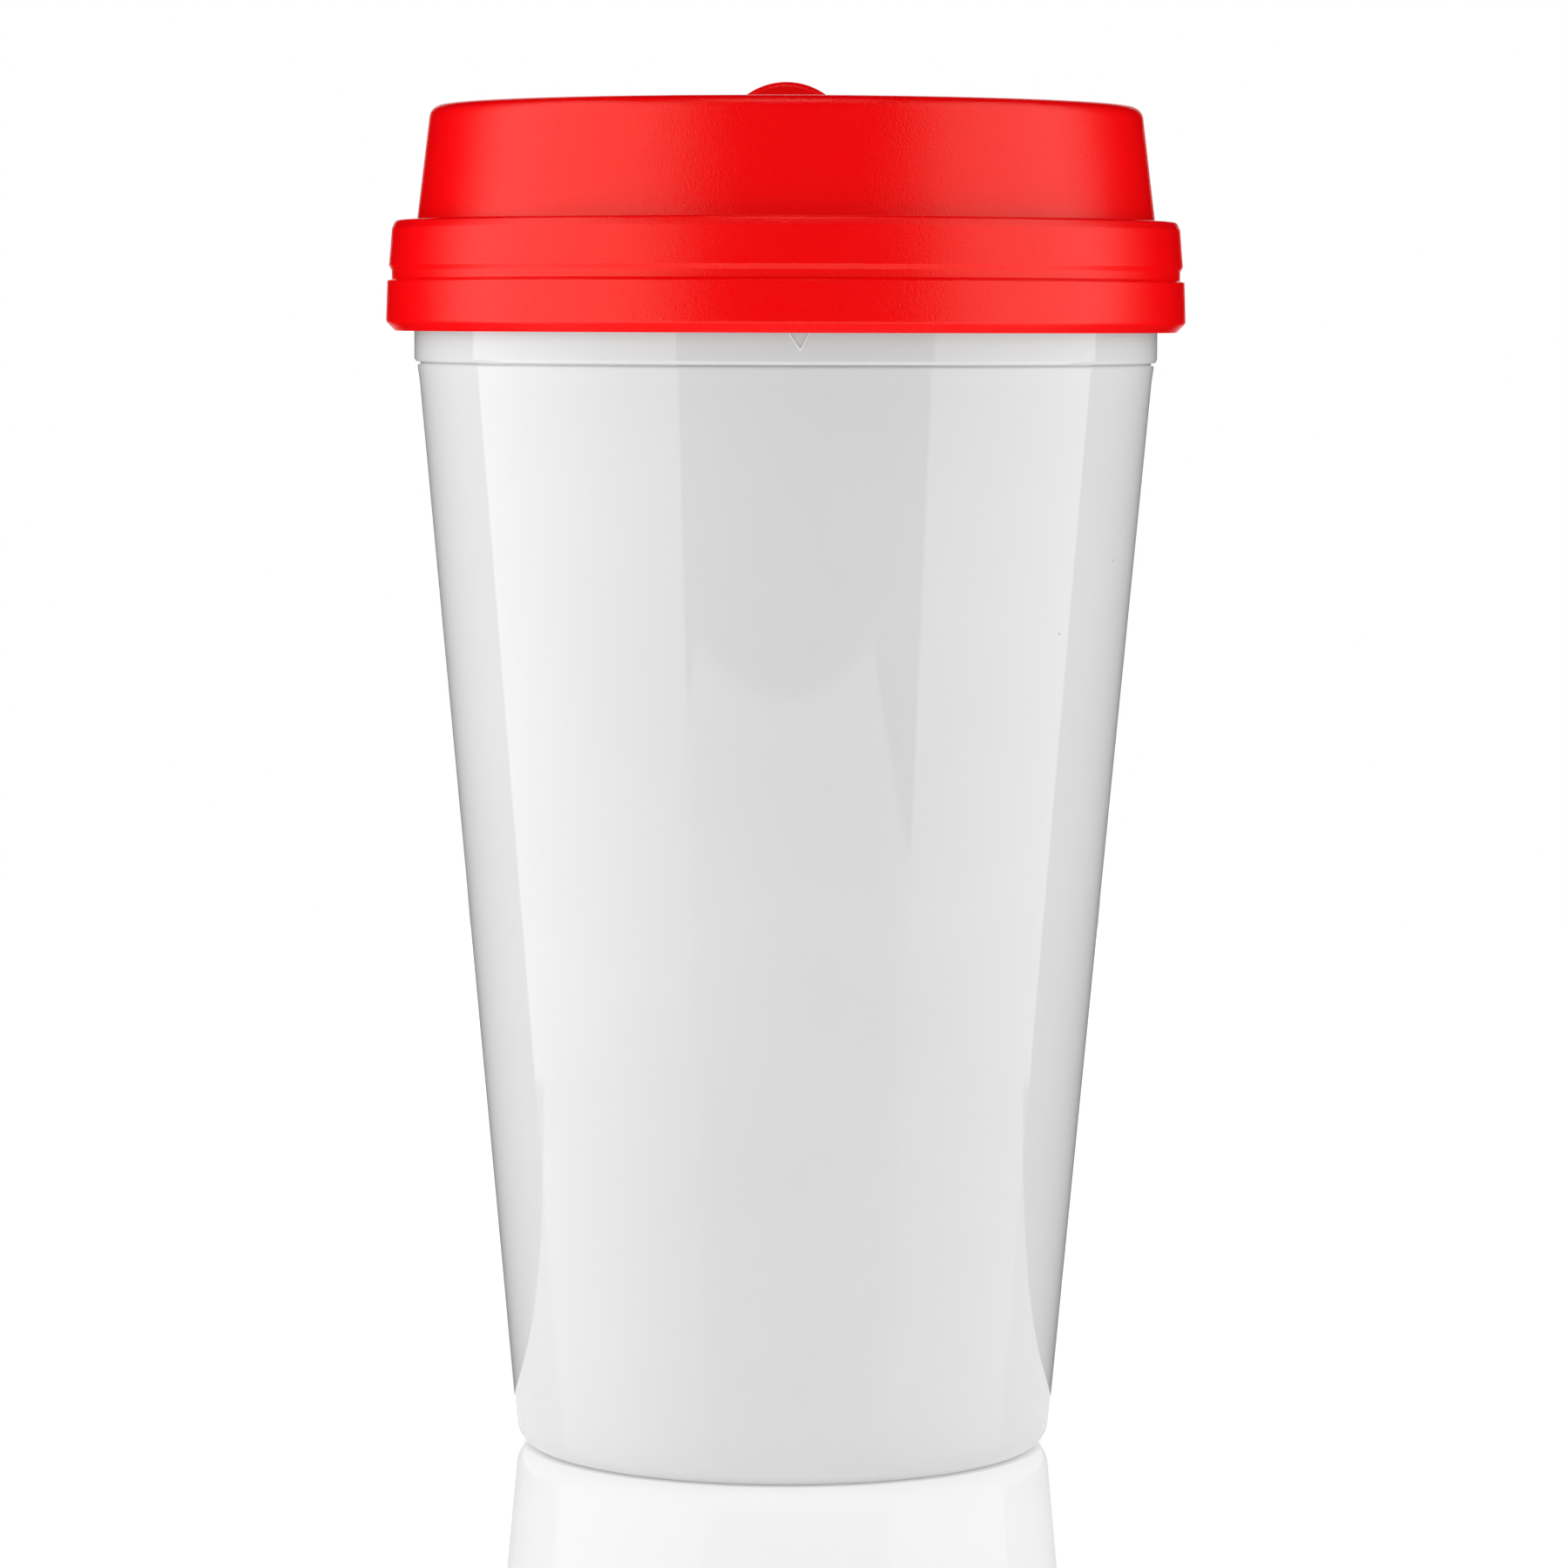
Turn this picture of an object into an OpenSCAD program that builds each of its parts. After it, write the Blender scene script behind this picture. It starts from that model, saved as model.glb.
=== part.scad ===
/* [Outer shell] */
// Height of the outer shell, from the table to its mouth
shell_h = 122.7; // [90:0.1:180]
// Radius of the shell's wall where it would meet the table, in front of the rounded edge
shell_base_r = 30.15; // [24:0.05:36]
// Radius of the shell's wall at its mouth
shell_top_r = 41.5; // [37:0.1:48]
// Wall thickness of the shell
shell_wall = 1.6; // [1:0.1:2.5]
// Thickness of the shell's floor
shell_floor = 1.6; // [1:0.1:3]
// Height of the foot ring under the floor
foot_h = 1.2; // [0.5:0.1:2.5]
// Width of the foot ring's flat
foot_w = 2.4; // [1:0.1:4]
// Rounding of the shell's bottom edge
base_round = 2.7; // [1:0.1:4]
// Rounding of the shell's mouth edge
mouth_round = 0.3; // [0.1:0.05:0.5]

/* [Inner liner] */
// Air space between the shell's wall and the liner's wall
air_gap = 2.2; // [1:0.1:4]
// Air space between the shell's floor and the liner's floor
floor_gap = 1.6; // [0.6:0.1:4]
// Wall thickness of the liner
liner_wall = 1.5; // [1:0.1:2.2]
// Thickness of the liner's floor
liner_floor = 1.6; // [1:0.1:3]
// Rounding inside the liner's floor
liner_round = 4; // [1:0.5:8]
// Depth to which the liner's collar plugs into the shell's mouth
spigot_h = 4; // [2:0.5:8]
// Clearance between the plugged part and the shell's inner wall
spigot_gap = 0.12; // [0.05:0.01:0.25]
// Height of the slope under the plugged part, down to the liner's straight wall
shoulder_h = 3; // [2:0.5:6]
// Height of the fine parting line between the collar and the shell
joint_gap = 0.25; // [0.1:0.05:0.5]
// Depth of the parting line
joint_depth = 0.6; // [0.3:0.05:0.7]
// How far the collar stands out beyond the shell's mouth
collar_step = 0.42; // [0:0.02:0.8]
// Height of the collar
collar_h = 5; // [4:0.1:9]
// Rounding of the collar's lower edge
collar_round = 0.35; // [0.1:0.05:0.5]
// How far the neck stands back from the collar
neck_step = 0.92; // [0.5:0.02:1.6]
// Height of the threaded neck above the collar
neck_h = 7.95; // [7.7:0.05:14]
// Wall thickness of the neck
neck_wall = 1.6; // [1.2:0.1:2.2]
// Rounding of the liner's rim
rim_round = 0.5; // [0.1:0.1:0.6]

/* [Index mark on the collar] */
// Side of the raised triangle
mark_side = 3.2; // [2:0.1:3.8]
// Width of its raised line
mark_line = 0.2; // [0.1:0.05:0.4]
// Height of its line above the collar
mark_proud = 0.1; // [0.05:0.01:0.25]
// Place of its lower point to the right of the middle
mark_x = 1.58; // [-4:0.01:4]
// Height of its lower point above the collar's lower edge
mark_z = 1.3; // [0.5:0.1:1.5]
// Turn of the triangle on the collar, in degrees
mark_turn = 3.3; // [-5:0.1:5]

/* [Screw thread] */
// Rise of the lid in one full turn
lead = 6; // [6:0.1:7.4]
// Number of thread starts
starts = 2; // [2:1:2]
// Height of the neck's thread over the neck
thread_depth = 1.4; // [1:0.1:1.6]
// Width of the neck's thread at its root
thread_root_w = 1.6; // [1.3:0.1:1.7]
// Width of the neck's thread at its crest
thread_crest_w = 0.8; // [0.5:0.1:1]
// Width of the lid's thread at its root
lid_thread_root_w = 1.5; // [1.3:0.1:1.7]
// Width of the lid's thread at its crest
lid_thread_crest_w = 0.7; // [0.5:0.1:0.9]
// Part of a turn that each neck thread runs
thread_turns = 0.78; // [0.4:0.01:0.78]
// Part of a turn that each lid thread runs
lid_thread_turns = 0.6; // [0.3:0.05:0.6]
// Clearance between a thread's crest and the wall it faces
crest_gap = 0.35; // [0.25:0.05:0.6]
// Extra room behind the neck's thread inside the lid
bore_gap = 0.4; // [0.2:0.05:0.8]
// Clearance between the bearing flanks
flank_gap = 0.22; // [0.15:0.01:0.3]
// Space between the collar and the lowest thread on the neck
thread_rise = 1.3; // [0.9:0.05:1.5]

/* [Lid seal] */
// Thickness of the seal ring
seal_t = 1.4; // [1:0.1:2.4]
// Clearance above and below the seal ring
seal_gap = 0.05; // [0.02:0.01:0.2]
// Clearance of the seal ring inside the lid
seal_side_gap = 0.15; // [0.05:0.01:0.3]
// How far the seal ring's hole stands back from the liner's inner wall
seal_inset = 0.2; // [0:0.05:0.4]

/* [Lid skirt] */
// Wall thickness of the skirt at its lower edge
skirt_wall = 1.87; // [1.6:0.01:3]
// Height of white collar that the lid leaves showing
collar_show = 3.35; // [2:0.05:4]
// Bevel of the skirt's lower outer edge
skirt_bevel = 1.05; // [0.3:0.05:1.2]
// How much narrower the lower band is at its top
lower_lean = 0.15; // [0:0.01:0.3]
// Step from the lower band in to the upper band
band_step = 0.2; // [0:0.01:0.3]
// How much narrower the upper band is at its top
upper_lean = 0.33; // [0:0.01:0.4]
// Height of the upper band
upper_band_h = 5.3; // [3:0.1:5.5]
// Height of the slope from the upper band down into the groove
groove_slope_h = 0.65; // [0.2:0.05:0.8]
// Height of the groove's flat bottom
groove_flat_h = 1.05; // [0.4:0.05:1.5]
// Depth of the groove under the upper band
groove_depth = 0.3; // [0.1:0.05:0.4]
// Height of the step from the groove out to the lower band
groove_step_h = 0.3; // [0.1:0.05:0.5]
// Width of the bevel on the ledge's outer edge
ledge_bevel_w = 0.42; // [0.1:0.02:0.8]
// Height of the bevel on the ledge's outer edge
ledge_bevel_h = 0.75; // [0.2:0.05:1]
// Thickness of the ledge over the seal ring
ledge_t = 1.45; // [1:0.05:2.5]
// Width of the ledge, from its bevel in to the top wall
ledge_w = 2.4; // [1.6:0.1:4]

/* [Lid top] */
// Height of the top wall above the ledge
top_h = 12.7; // [11:0.1:18]
// How much narrower the top wall is at the rim than at the ledge
top_lean = 1.57; // [0.5:0.01:2.5]
// Thickness of the top wall below the deck
top_wall = 1.7; // [1.2:0.1:2]
// Width of the rim, sharp corner to sharp corner
rim_w = 1.75; // [1.7:0.05:3]
// Rounding of the rim's outer edge
rim_outer_round = 1.2; // [0.4:0.1:1.2]
// Rounding of the rim's inner edge
rim_inner_round = 0.4; // [0.1:0.1:0.5]
// Depth of the deck below the rim
deck_drop = 7.1; // [5:0.1:8]
// Thickness of the deck
deck_t = 1.6; // [1.2:0.1:2.4]
// How much narrower the recess is at the deck than at the rim
recess_lean = 0.4; // [0.1:0.05:1]
// Width of the drinking hole
hole_w = 14; // [9:0.5:16]
// Length of the drinking hole, front to back
hole_l = 7; // [5:0.5:9]
// Distance of the drinking hole from the recess wall
hole_edge = 4.4; // [3:0.1:8]
// Diameter of the vent hole
vent_d = 2.2; // [1:0.1:3]
// Distance of the vent hole from the recess wall
vent_edge = 8.5; // [5:0.1:10]

/* [Slide closure] */
// How far the plate covers beyond the drinking hole at each side
plate_lap = 3; // [2:0.1:4]
// Thickness of the plate
plate_t = 1.8; // [1.2:0.1:2.2]
// Length of the plate behind the middle of the lid
plate_tail = 8; // [6:0.5:10]
// Rounding of the plate's rear corners
plate_corner = 1.5; // [0.5:0.1:3]
// Clearance between the plate and the recess wall in front of it
plate_end_gap = 0.5; // [0.3:0.05:1]
// Clearance between the plate and the deck, the rails and their lips
slide_gap = 0.15; // [0.1:0.01:0.3]
// How far the open plate stands behind the drinking hole
open_margin = 0.3; // [0:0.1:1.5]
// Width of each rail
rail_w = 1.6; // [1.2:0.1:2.5]
// How far each rail's lip reaches over the plate
lip_w = 1.2; // [0.6:0.1:1.8]
// Thickness of each rail's lip
lip_t = 0.9; // [0.6:0.1:1.5]
// Distance of the rails' front ends from the recess wall
rail_edge = 8.2; // [7.5:0.1:10]
// Radius of the thumb tab
tab_r = 7.66; // [5:0.01:8.6]
// Height of the thumb tab's centre above the plate
tab_rise = 0.25; // [0:0.05:2]
// Thickness of the thumb tab
tab_t = 2.6; // [2:0.1:4]
// Bevel around the thumb tab's two faces
tab_bevel = 0.5; // [0.2:0.05:0.8]

/* [Hidden] */
$fn = 120;
white = [0.93, 0.93, 0.93];
red = [0.9, 0.02, 0.03];
clear_rubber = [0.85, 0.86, 0.86];
// How deep an added shape reaches into the wall that carries it
bite = 0.4;
// How far a cutter runs past the face that it opens
past = 1;
// Steps of a thread in one full turn, and how many of them fade out at each end
thread_steps = 40;
fade_steps = 3;

// The shell's wall leans out by this angle
lean = atan((shell_top_r - shell_base_r) / shell_h);
shell_inner_drop = shell_wall / cos(lean);
floor_top = foot_h + shell_floor;

// The liner's heights and radii
liner_base = floor_top + floor_gap;
liner_floor_top = liner_base + liner_floor;
spigot_z = shell_h - spigot_h;
shoulder_z = spigot_z - shoulder_h;
collar_z = shell_h + joint_gap;
collar_top = collar_z + collar_h;
rim_z = collar_top + neck_h;
collar_r = shell_top_r + collar_step;
neck_r = collar_r - neck_step;
neck_inner_r = neck_r - neck_wall;

// The thread: ridges on the neck and in the lid on one helix, half a pitch apart and closed up
pitch = lead / starts;
crest_r = neck_r + thread_depth;
bore_r = crest_r + crest_gap + bore_gap;
lid_crest_r = neck_r + crest_gap;
neck_thread_z = collar_top + thread_rise;
flank_drop = (thread_root_w + lid_thread_crest_w) / 2 - flank_ease() + flank_gap;
lid_thread_zero = neck_thread_z - flank_drop;
lid_thread_z = collar_top + crest_gap + lid_thread_root_w / 2;
lid_thread_from = (lid_thread_z - lid_thread_zero) / lead * 360;

// The lid's heights and radii
lid_z = collar_z + collar_show;
seal_z = rim_z + seal_gap;
ceiling_z = seal_z + seal_t + seal_gap;
ledge_z = ceiling_z + ledge_t;
top_z = ledge_z + top_h;
deck_z = top_z - deck_drop;
skirt_r = bore_r + skirt_wall;
lower_top_r = skirt_r - lower_lean;
upper_r = lower_top_r - band_step;
upper_top_r = upper_r - upper_lean;
groove_r = upper_r - groove_depth;
upper_low_z = ledge_z - upper_band_h;
groove_z = upper_low_z - groove_slope_h - groove_flat_h;
lower_top_z = groove_z - groove_step_h;
top_foot_r = upper_top_r - ledge_bevel_w - ledge_w;
top_rim_r = top_foot_r - top_lean;
recess_top_r = top_rim_r - rim_w;
recess_r = recess_top_r - recess_lean;
top_slope = top_lean / top_h;

// The slide closure
plate_w = hole_w + 2 * plate_lap;
plate_z = deck_z + slide_gap;
plate_top = plate_z + plate_t;
hole_front = recess_r - hole_edge;
travel = hole_edge - plate_end_gap + hole_l + open_margin;
rail_x = plate_w / 2 + slide_gap;
rail_top = plate_top + slide_gap + lip_t;
stop_y = plate_tail + travel + 2 * slide_gap;
rail_back = stop_y + rail_w;

// Radius of the shell's outer and inner wall at a height
function shell_r(z) = shell_base_r + (shell_top_r - shell_base_r) * z / shell_h;
function shell_in_r(z) = shell_r(z) - shell_inner_drop;
// Radius of the liner's outer and inner wall at a height
function liner_r(z) = shell_in_r(z) - air_gap;
function liner_in_r(z) = liner_r(z) - liner_wall / cos(lean);
// Radius of the lid's top wall at a height, outside
function top_r(z) = top_foot_r - (z - ledge_z) * top_slope;
// How much narrower the neck's thread is where the lid's crest meets it
function flank_ease() = (thread_root_w - thread_crest_w) / 2 * crest_gap / thread_depth;
// Points of a round edge about a centre
function arc(c, r, a0, a1, n = 6) = [for (i = [0:n]) c + r * [cos(a0 + (a1 - a0) * i / n), sin(a0 + (a1 - a0) * i / n)]];

// Points of a round corner between a wall that leans by an angle and a level floor below it
function floor_corner(r_at_floor, z, r, a) = arc([r_at_floor + r * tan(a) - r / cos(a), z + r], r, -90, -a);

// A ridge that climbs round the axis: its root is buried in the wall and its ends fade out
module thread_ridge(root_r, crest_r, root_w, crest_w, z0, from, turns) {
  steps = round(thread_steps * turns);
  inward = crest_r < root_r;
  buried_r = root_r + (inward ? bite : -bite);
  flare = (root_w - crest_w) * bite / abs(crest_r - root_r);
  function fade(i) = min(1, (i + 0.6) / fade_steps, (steps - i + 0.6) / fade_steps);
  function ring(i) =
    let (a = from + 360 * turns * i / steps)
    let (z = z0 + lead * a / 360)
    let (f = fade(i))
    let (c = root_r + (crest_r - root_r) * f)
    let (w = (root_w + flare) * (0.5 + 0.5 * f) / 2)
    let (t = crest_w * (0.5 + 0.5 * f) / 2)
    [for (p = [[buried_r, -w], [c, -t], [c, t], [buried_r, w]])
      [p[0] * cos(a), p[0] * sin(a), z + p[1]]];
  points = [for (i = [0:steps]) each ring(i)];
  function side(i, j) =
    let (a = 4 * i + j)
    let (b = 4 * i + (j + 1) % 4)
    [[a, b, a + 4], [b, b + 4, a + 4]];
  last = 4 * steps;
  faces = [
    for (i = [0:steps - 1]) for (j = [0:3]) each side(i, j),
    [0, 2, 1],
    [0, 3, 2],
    [last, last + 1, last + 2],
    [last, last + 2, last + 3]
  ];
  polyhedron(points, [for (f = faces) inward ? [f[2], f[1], f[0]] : f], convexity = 8);
}

// The outer wall, floor and foot ring, moulded in one
module outer_shell() {
  foot = floor_corner(shell_base_r, 0, base_round, lean);
  foot_in_r = foot[0][0] - foot_w;
  mouth_c = [shell_r(shell_h - mouth_round) - mouth_round / cos(lean), shell_h - mouth_round];
  color(white)
    rotate_extrude()
      polygon(concat(
        [[0, foot_h], [foot_in_r - foot_h / 2, foot_h], [foot_in_r, 0]],
        foot,
        arc(mouth_c, mouth_round, -lean, 90),
        [[shell_in_r(shell_h), shell_h]],
        [for (i = [6:-1:0]) floor_corner(shell_in_r(floor_top), floor_top, base_round, lean)[i]],
        [[0, floor_top]]
      ));
}

// The raised outline of a triangle that points down, on the front of the collar
module index_mark() {
  low = [mark_x, collar_z + mark_z];
  tip_inset = mark_line * 2;
  translate([low[0], -collar_r + bite, low[1]])
    rotate([90, mark_turn, 0])
      linear_extrude(bite + mark_proud)
        difference() {
          polygon([[0, 0], [mark_side / 2, mark_side * sin(60)], [-mark_side / 2, mark_side * sin(60)]]);
          polygon([
            [0, tip_inset],
            [mark_side / 2 - mark_line * sqrt(3), mark_side * sin(60) - mark_line],
            [mark_line * sqrt(3) - mark_side / 2, mark_side * sin(60) - mark_line]
          ]);
        }
}

// The inner cup with its collar and threaded neck, moulded in one
module inner_liner() {
  inside = floor_corner(liner_in_r(liner_floor_top), liner_floor_top, liner_round, lean);
  outside = floor_corner(liner_r(liner_base), liner_base, liner_round, lean);
  spigot_in = shell_in_r(spigot_z) - spigot_gap;
  color(white)
    union() {
      rotate_extrude()
        polygon(concat(
          [[0, liner_base]],
          outside,
          [
            [liner_r(shoulder_z), shoulder_z],
            [spigot_in, spigot_z],
            [shell_in_r(shell_h) - spigot_gap, shell_h],
            [shell_top_r - joint_depth, shell_h],
            [shell_top_r - joint_depth, collar_z]
          ],
          arc([collar_r - collar_round, collar_z + collar_round], collar_round, -90, 0),
          [
            [collar_r, collar_top - neck_step / 2],
            [neck_r, collar_top]
          ],
          arc([neck_r - rim_round, rim_z - rim_round], rim_round, 0, 90),
          arc([neck_inner_r + rim_round, rim_z - rim_round], rim_round, 90, 180),
          [
            [neck_inner_r, collar_top],
            [liner_in_r(shoulder_z), shoulder_z]
          ],
          [for (i = [6:-1:0]) inside[i]],
          [[0, liner_floor_top]]
        ));
      for (s = [0:starts - 1])
        rotate([0, 0, 360 * s / starts])
          thread_ridge(
            neck_r, crest_r, thread_root_w, thread_crest_w, neck_thread_z, 0, thread_turns
          );
      index_mark();
    }
}

// The flat seal ring under the lid's ceiling
module lid_gasket() {
  ring_r = bore_r - seal_side_gap;
  ring_in_r = neck_inner_r + seal_inset;
  color(clear_rubber)
    rotate_extrude()
      translate([ring_in_r, seal_z])
        square([ring_r - ring_in_r, seal_t]);
}

// The lid's turned form: skirt with its groove, ledge, top wall, rim and sunk deck
module lid_form() {
  bore_bevel = skirt_wall / 4;
  skirt_c = [skirt_r - skirt_bevel, lid_z];
  rim_c = [top_r(top_z - rim_outer_round) - rim_outer_round / cos(atan(top_slope)), top_z - rim_outer_round];
  inner_c = [recess_top_r + rim_inner_round, top_z - rim_inner_round];
  rotate_extrude()
    polygon(concat(
      [
        [bore_r + bore_bevel, lid_z],
        skirt_c,
        [skirt_r, lid_z + skirt_bevel],
        [lower_top_r, lower_top_z],
        [groove_r, groove_z],
        [groove_r, groove_z + groove_flat_h],
        [upper_r, upper_low_z],
        [upper_top_r, ledge_z - ledge_bevel_h],
        [upper_top_r - ledge_bevel_w, ledge_z],
        [top_foot_r, ledge_z]
      ],
      arc(rim_c, rim_outer_round, atan(top_slope), 90),
      arc(inner_c, rim_inner_round, 90, 180),
      [
        [recess_r, deck_z],
        [0, deck_z],
        [0, deck_z - deck_t],
        [top_r(deck_z - deck_t) - top_wall, deck_z - deck_t],
        [top_r(ceiling_z) - top_wall, ceiling_z],
        [bore_r, ceiling_z],
        [bore_r, lid_z + bore_bevel]
      ]
    ));
}

// A slot with round ends, along X
module round_slot(w, l, h) {
  for (x = [-1, 1])
    translate([x * (w - l) / 2, 0, 0])
      cylinder(h = h, d = l);
  translate([-(w - l) / 2, -l / 2, 0])
    cube([w - l, l, h]);
}

// One rail with its lip, on the right of the plate
module rail() {
  front = recess_r - rail_edge;
  translate([rail_x, -front, deck_z - bite])
    cube([rail_w, front + rail_back, rail_top - deck_z + bite]);
  translate([rail_x - lip_w, -front, rail_top - lip_t])
    cube([lip_w + rail_w, front + rail_back, lip_t]);
}

// The lid with its holes, its two rails, the rear stop and the thread inside the skirt
module lid() {
  color(red)
    union() {
      difference() {
        lid_form();
        translate([0, -hole_front + hole_l / 2, deck_z - deck_t - past])
          round_slot(hole_w, hole_l, deck_t + 2 * past);
        translate([0, recess_r - vent_edge, deck_z - deck_t - past])
          cylinder(h = deck_t + 2 * past, d = vent_d);
      }
      rail();
      mirror([1, 0, 0])
        rail();
      translate([-rail_x - past, stop_y, deck_z - bite])
        cube([2 * (rail_x + past), rail_w, plate_top - deck_z + bite]);
      for (s = [0:starts - 1])
        rotate([0, 0, 360 * s / starts])
          thread_ridge(
            bore_r, lid_crest_r, lid_thread_root_w, lid_thread_crest_w,
            lid_thread_zero, lid_thread_from, lid_thread_turns
          );
    }
}

// The plate under the rails, with its upright thumb tab
module slider() {
  front = recess_r - plate_end_gap;
  tab_z = plate_top + tab_rise;
  color(red)
    union() {
      intersection() {
        translate([0, 0, plate_z])
          cylinder(h = plate_t, r = front);
        translate([-plate_w / 2, -front - past, plate_z])
          cube([plate_w, front + past + plate_tail - plate_corner, plate_t]);
      }
      for (x = [-1, 1])
        translate([x * (plate_w / 2 - plate_corner), plate_tail - plate_corner, plate_z])
          cylinder(h = plate_t, r = plate_corner);
      translate([-plate_w / 2 + plate_corner, 0, plate_z])
        cube([plate_w - 2 * plate_corner, plate_tail, plate_t]);
      difference() {
        translate([0, 0, tab_z])
          rotate([90, 0, 0])
            union() {
              cylinder(h = tab_t - 2 * tab_bevel, r = tab_r, center = true);
              for (m = [0, 1])
                mirror([0, 0, m])
                  translate([0, 0, tab_t / 2 - tab_bevel])
                    cylinder(h = tab_bevel, r1 = tab_r, r2 = tab_r - tab_bevel);
            }
        translate([-tab_r - past, -tab_t, plate_top - bite - 2 * tab_r])
          cube([2 * (tab_r + past), 2 * tab_t, 2 * tab_r]);
      }
    }
}

outer_shell();
inner_liner();
lid_gasket();
lid();
slider();
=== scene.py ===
import math

import bmesh
import bpy
from bpy.props import FloatProperty, FloatVectorProperty, IntProperty, PointerProperty
from bpy.types import Operator, Panel, PropertyGroup
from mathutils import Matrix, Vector


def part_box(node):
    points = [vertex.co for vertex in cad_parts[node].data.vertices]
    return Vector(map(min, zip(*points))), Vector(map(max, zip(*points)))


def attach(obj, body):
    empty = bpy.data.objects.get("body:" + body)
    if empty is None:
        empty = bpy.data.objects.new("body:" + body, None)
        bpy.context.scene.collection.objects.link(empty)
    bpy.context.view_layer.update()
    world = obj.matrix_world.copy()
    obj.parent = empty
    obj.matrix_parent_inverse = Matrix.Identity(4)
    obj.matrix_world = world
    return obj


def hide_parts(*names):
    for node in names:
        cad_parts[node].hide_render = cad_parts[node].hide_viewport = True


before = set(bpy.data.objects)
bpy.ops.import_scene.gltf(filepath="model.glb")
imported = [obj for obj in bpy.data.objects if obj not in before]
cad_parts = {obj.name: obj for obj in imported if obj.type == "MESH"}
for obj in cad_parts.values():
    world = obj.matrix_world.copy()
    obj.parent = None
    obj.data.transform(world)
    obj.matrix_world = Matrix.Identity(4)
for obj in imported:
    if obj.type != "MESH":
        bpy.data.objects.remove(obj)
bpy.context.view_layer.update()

bl_info = {
    "name": "Travel Tumbler",
    "version": (1, 0, 0),
    "blender": (4, 5, 0),
    "location": "3D View > Sidebar > Tumbler",
    "description": "Models a double-wall travel tumbler with a screw lid and a thumb slide",
    "category": "Add Mesh",
}

MM = 0.001
SHELL_LOW, SHELL_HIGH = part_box("outer_shell")
LINER_LOW, LINER_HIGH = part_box("inner_liner")
SEAL_LOW, SEAL_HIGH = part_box("lid_gasket")
LID_LOW, LID_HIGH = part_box("lid")
SLIDER_LOW, SLIDER_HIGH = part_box("slider")

# Closest that two points of one outline may lie, and how far a buried root reaches into its wall
WELD = 0.002 * MM
BITE = 0.4 * MM
# Faces that meet at less than this angle are shaded as one smooth surface
SMOOTH_ANGLE = math.radians(31)
# Distance from a corner to the ring that holds its shading in place
HOLD = 0.35 * MM
# Roundings of moulded corners that nothing else sizes
CRISP = 0.15 * MM
SOFT = 0.3 * MM


def length(name, description, default):
    """A size in metres, shown in the scene's own length unit."""
    return FloatProperty(name=name, description=description, default=default, unit="LENGTH", precision=5)


def share(name, description, default):
    """A number without a unit."""
    return FloatProperty(name=name, description=description, default=default, precision=4)


def colour(name, description, default):
    """A colour in linear light."""
    return FloatVectorProperty(
        name=name, description=description, default=default, subtype="COLOR", size=3, min=0, max=1
    )


class TumblerShell(PropertyGroup):
    """Sizes of the outer shell"""

    steps: IntProperty(name="Steps", description="Faces round each turned piece", default=256)
    mouth_z: length("Mouth", "Height of the mouth", SHELL_HIGH.z)
    base_r: length("Base radius", "Radius of the wall where it would meet the table", 30.15 * MM)
    top_r: length("Mouth radius", "Radius of the wall at the mouth", 41.5 * MM)
    wall: length("Wall", "Thickness of the wall", 1.6 * MM)
    floor: length("Floor", "Thickness of the floor", 1.6 * MM)
    foot_h: length("Foot height", "Height of the foot ring", 1.2 * MM)
    foot_w: length("Foot width", "Width of the foot ring's flat", 2.4 * MM)
    base_round: length("Base rounding", "Rounding of the bottom edge", 2.7 * MM)
    mouth_round: length("Mouth rounding", "Rounding of the mouth's outer edge", 0.3 * MM)
    flare: length("Flare", "How far the mouth flares out beyond the straight wall", 0.1 * MM)
    flare_h: length("Flare height", "Height of the flare under the mouth", 1.9 * MM)


class TumblerLiner(PropertyGroup):
    """Sizes of the inner liner with its collar and threaded neck"""

    rim_z: length("Rim", "Height of the rim", LINER_HIGH.z)
    base_z: length("Base", "Height of the liner's underside", LINER_LOW.z)
    collar_z: length("Collar", "Height of the collar's lower edge", SHELL_HIGH.z + 0.2 * MM)
    collar_r: length("Collar radius", "Radius of the collar", 41.92 * MM)
    collar_h: length("Collar height", "Height of the collar", 5 * MM)
    chamfer_w: length("Chamfer width", "Width of the chamfer under the collar", 0.16 * MM)
    chamfer_h: length("Chamfer height", "Height of the chamfer under the collar", 0.35 * MM)
    joint_depth: length("Parting depth", "Depth of the parting line over the shell", 0.26 * MM)
    plug_h: length("Plug", "Depth of the part that plugs into the shell", 4 * MM)
    plug_gap: length("Plug gap", "Clearance of the plugged part", 0.12 * MM)
    shoulder_h: length("Shoulder", "Height of the slope under the plugged part", 3 * MM)
    air_gap: length("Air space", "Air space between the two walls", 2.2 * MM)
    wall: length("Wall", "Thickness of the wall", 1.5 * MM)
    floor: length("Floor", "Thickness of the floor", 1.6 * MM)
    floor_round: length("Floor rounding", "Rounding inside the floor", 4 * MM)
    neck_r: length("Neck radius", "Outer radius of the neck", 41 * MM)
    neck_wall: length("Neck wall", "Thickness of the neck", 1.6 * MM)
    rim_round: length("Rim rounding", "Rounding of the rim", 0.5 * MM)
    mark_side: length("Mark", "Side of the raised triangle", 3.2 * MM)
    mark_line: length("Mark line", "Width of the triangle's raised line", 0.3 * MM)
    mark_proud: length("Mark height", "Height of the raised line over the collar", 0.1 * MM)
    mark_x: length("Mark place", "Place of the triangle's point to the right", 1.58 * MM)
    mark_z: length("Mark rise", "Height of the triangle's point over the collar's lower edge", 1.3 * MM)
    mark_turn: share("Mark turn", "Turn of the triangle in degrees", 3.3)


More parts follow.
